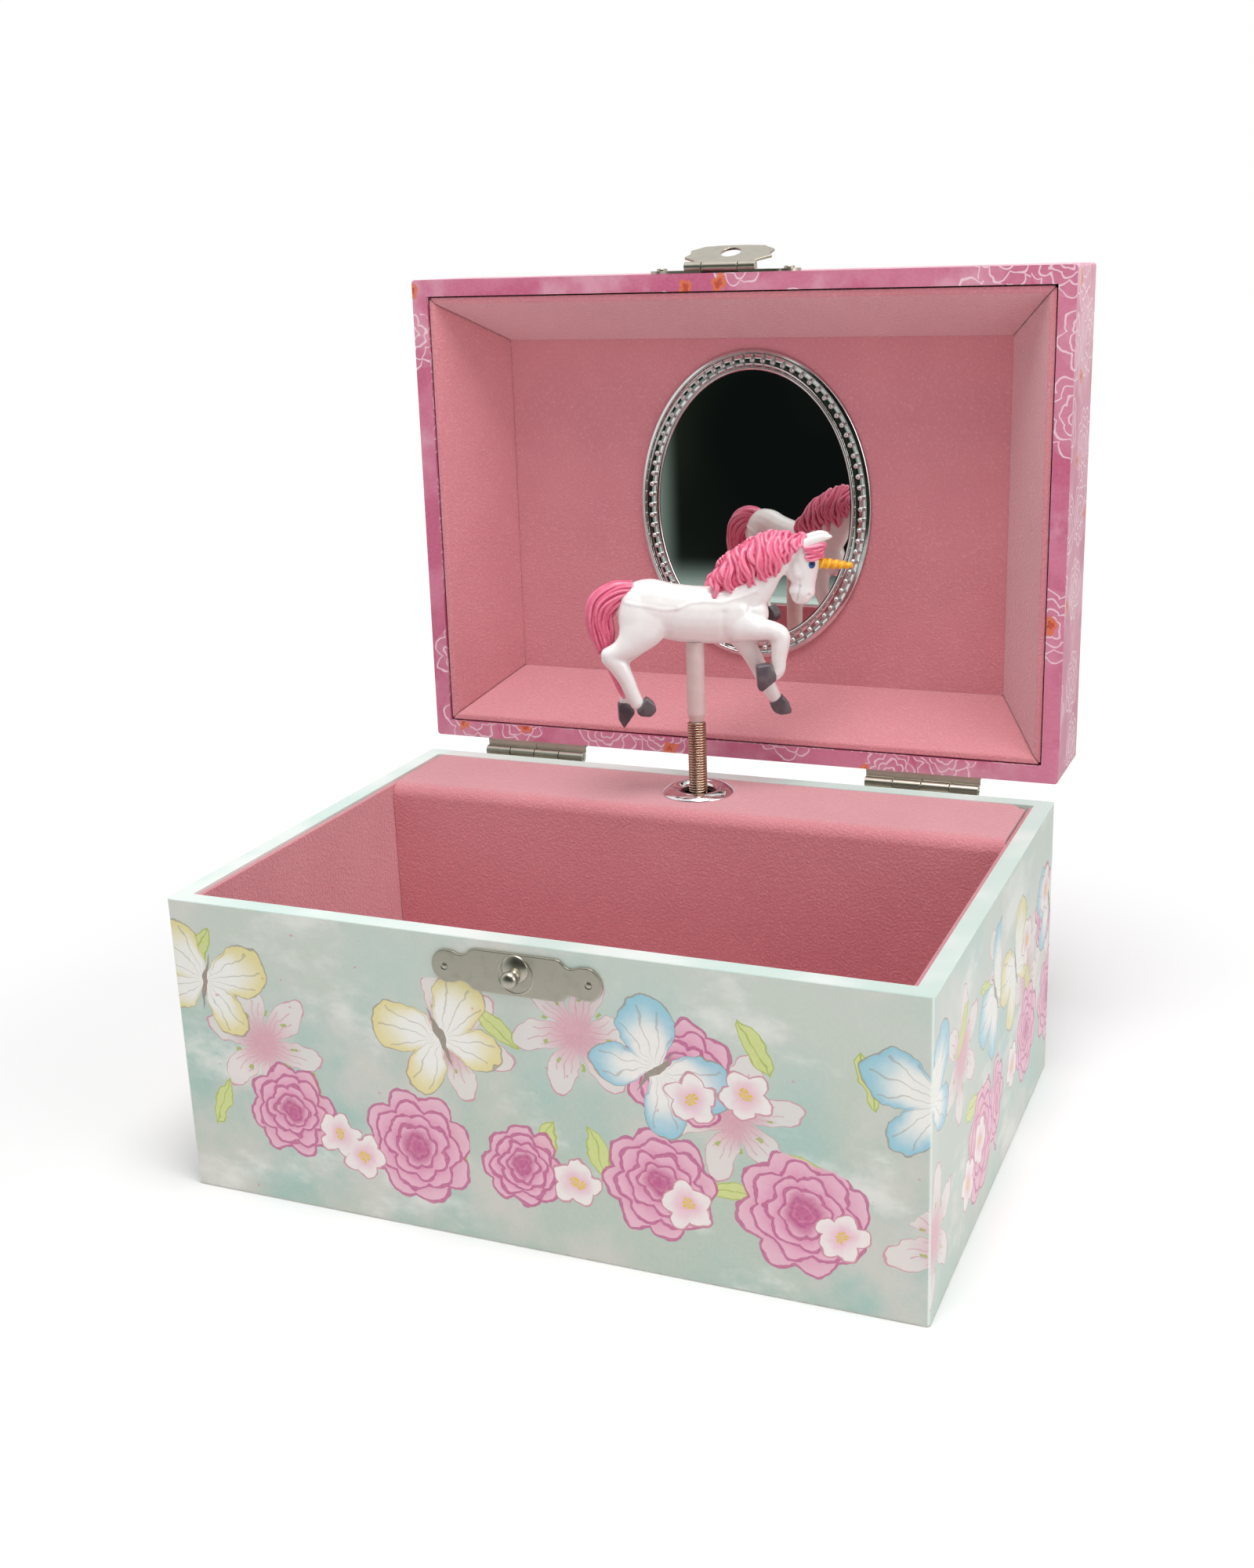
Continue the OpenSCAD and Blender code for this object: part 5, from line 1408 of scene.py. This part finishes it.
stage = {
    "near": 95, "far": 260, "half": 3000,
    "cardLeft": -160, "cardFoot": 9, "cardBack": -270, "cardEnds": (-400, 420), "cardTop": 420,
    # the share of the world's white that lights the box
    "fill": 0.4,
}


# the light path's camera, glossy and transmission rays
def rays(tree):
    return [Wire(tree).node("LightPath", output=index) for index in (0, 3, 6)]


def seenBy(tree):
    seen, glossy, through = rays(tree)
    return seen.either(glossy).either(through)


# the floor keeps the shadow near the box and glows plain white further out; glossy rays see that far floor glow
# grey-green instead, a painted reflection
def makeFloor():
    made = Finish("paleFloor", srgb(250, 250, 250), 0.85, Emission_Strength=1.0)
    distance = made.place.vector("LENGTH", output=1)
    white = distance.soft(stage["near"], stage["far"]) * seenBy(made.material.node_tree)
    dust = made.place.noise(0.01, 2.0).soft(0.2, 0.8).mix(srgb(247, 247, 247), srgb(252, 252, 252))
    made.put("Base Color", white.mix(dust, (0, 0, 0, 1)))
    # painted reflection: the far floor glows grey-green to glossy rays only
    reflectedFloorGlow = rays(made.material.node_tree)[1].mix((1, 1, 1, 1), srgb(196, 206, 200))
    made.put("Emission Color", white.mix((0, 0, 0, 1), reflectedFloorGlow))
    half = stage["half"]
    floor = meshOf("floor", [(-half, -half, 0), (half, -half, 0), (half, half, 0), (-half, half, 0)],
                   [(0, 1, 2, 3)], smooth=False)
    floor.data.materials.append(made.material)


# a glowing card that only shiny pieces see: a painted reflection of the dark room in front of the mirror, paler by
# its left edge and its foot
def makeCard():
    made = Finish("reflectionCard", (0, 0, 0, 1), 1.0, Emission_Strength=1.0, Specular_IOR_Level=0.0)
    across, unused, up = made.place.parts()
    # painted reflection: a dark room, and a paler band by the card's left edge and foot
    paintedRoomReflection = made.place.noise(0.006, 2.0).soft(0.35, 0.7).mix(srgb(14, 18, 17), srgb(48, 54, 42))
    left = across.soft(stage["cardLeft"] - 7, stage["cardLeft"] + 7)
    foot = up.soft(stage["cardFoot"] - 9, stage["cardFoot"] + 9)
    paleReflectionBand = foot.mix(srgb(176, 190, 184), srgb(134, 148, 142))
    made.put("Emission Color", (left * foot).mix(paleReflectionBand, paintedRoomReflection))
    back, top = stage["cardBack"], stage["cardTop"]
    start, end = stage["cardEnds"]
    card = meshOf("reflectionCard", [(start, back, 1), (end, back, 1), (end, back, top), (start, back, top)],
                  [(0, 1, 2, 3)], smooth=False)
    card.data.materials.append(made.material)
    for ray in ("camera", "diffuse", "shadow", "transmission"):
        setattr(card, "visible_" + ray, False)


def makeWorld():
    world = bpy.data.worlds.new("softRoom")
    bpy.context.scene.world = world
    world.use_nodes = True
    tree = world.node_tree
    backdrop = tree.nodes["Background"]
    backdrop.inputs["Color"].default_value = (1, 1, 1, 1)
    (seenBy(tree) * (1 - stage["fill"]) + stage["fill"]).into(backdrop, "Strength")


makeCamera()
for lamp in lamps:
    makeLamp(*lamp)
makeFloor()
makeCard()
makeWorld()
bpy.context.scene.view_settings.view_transform = "Standard"
print("stage made")
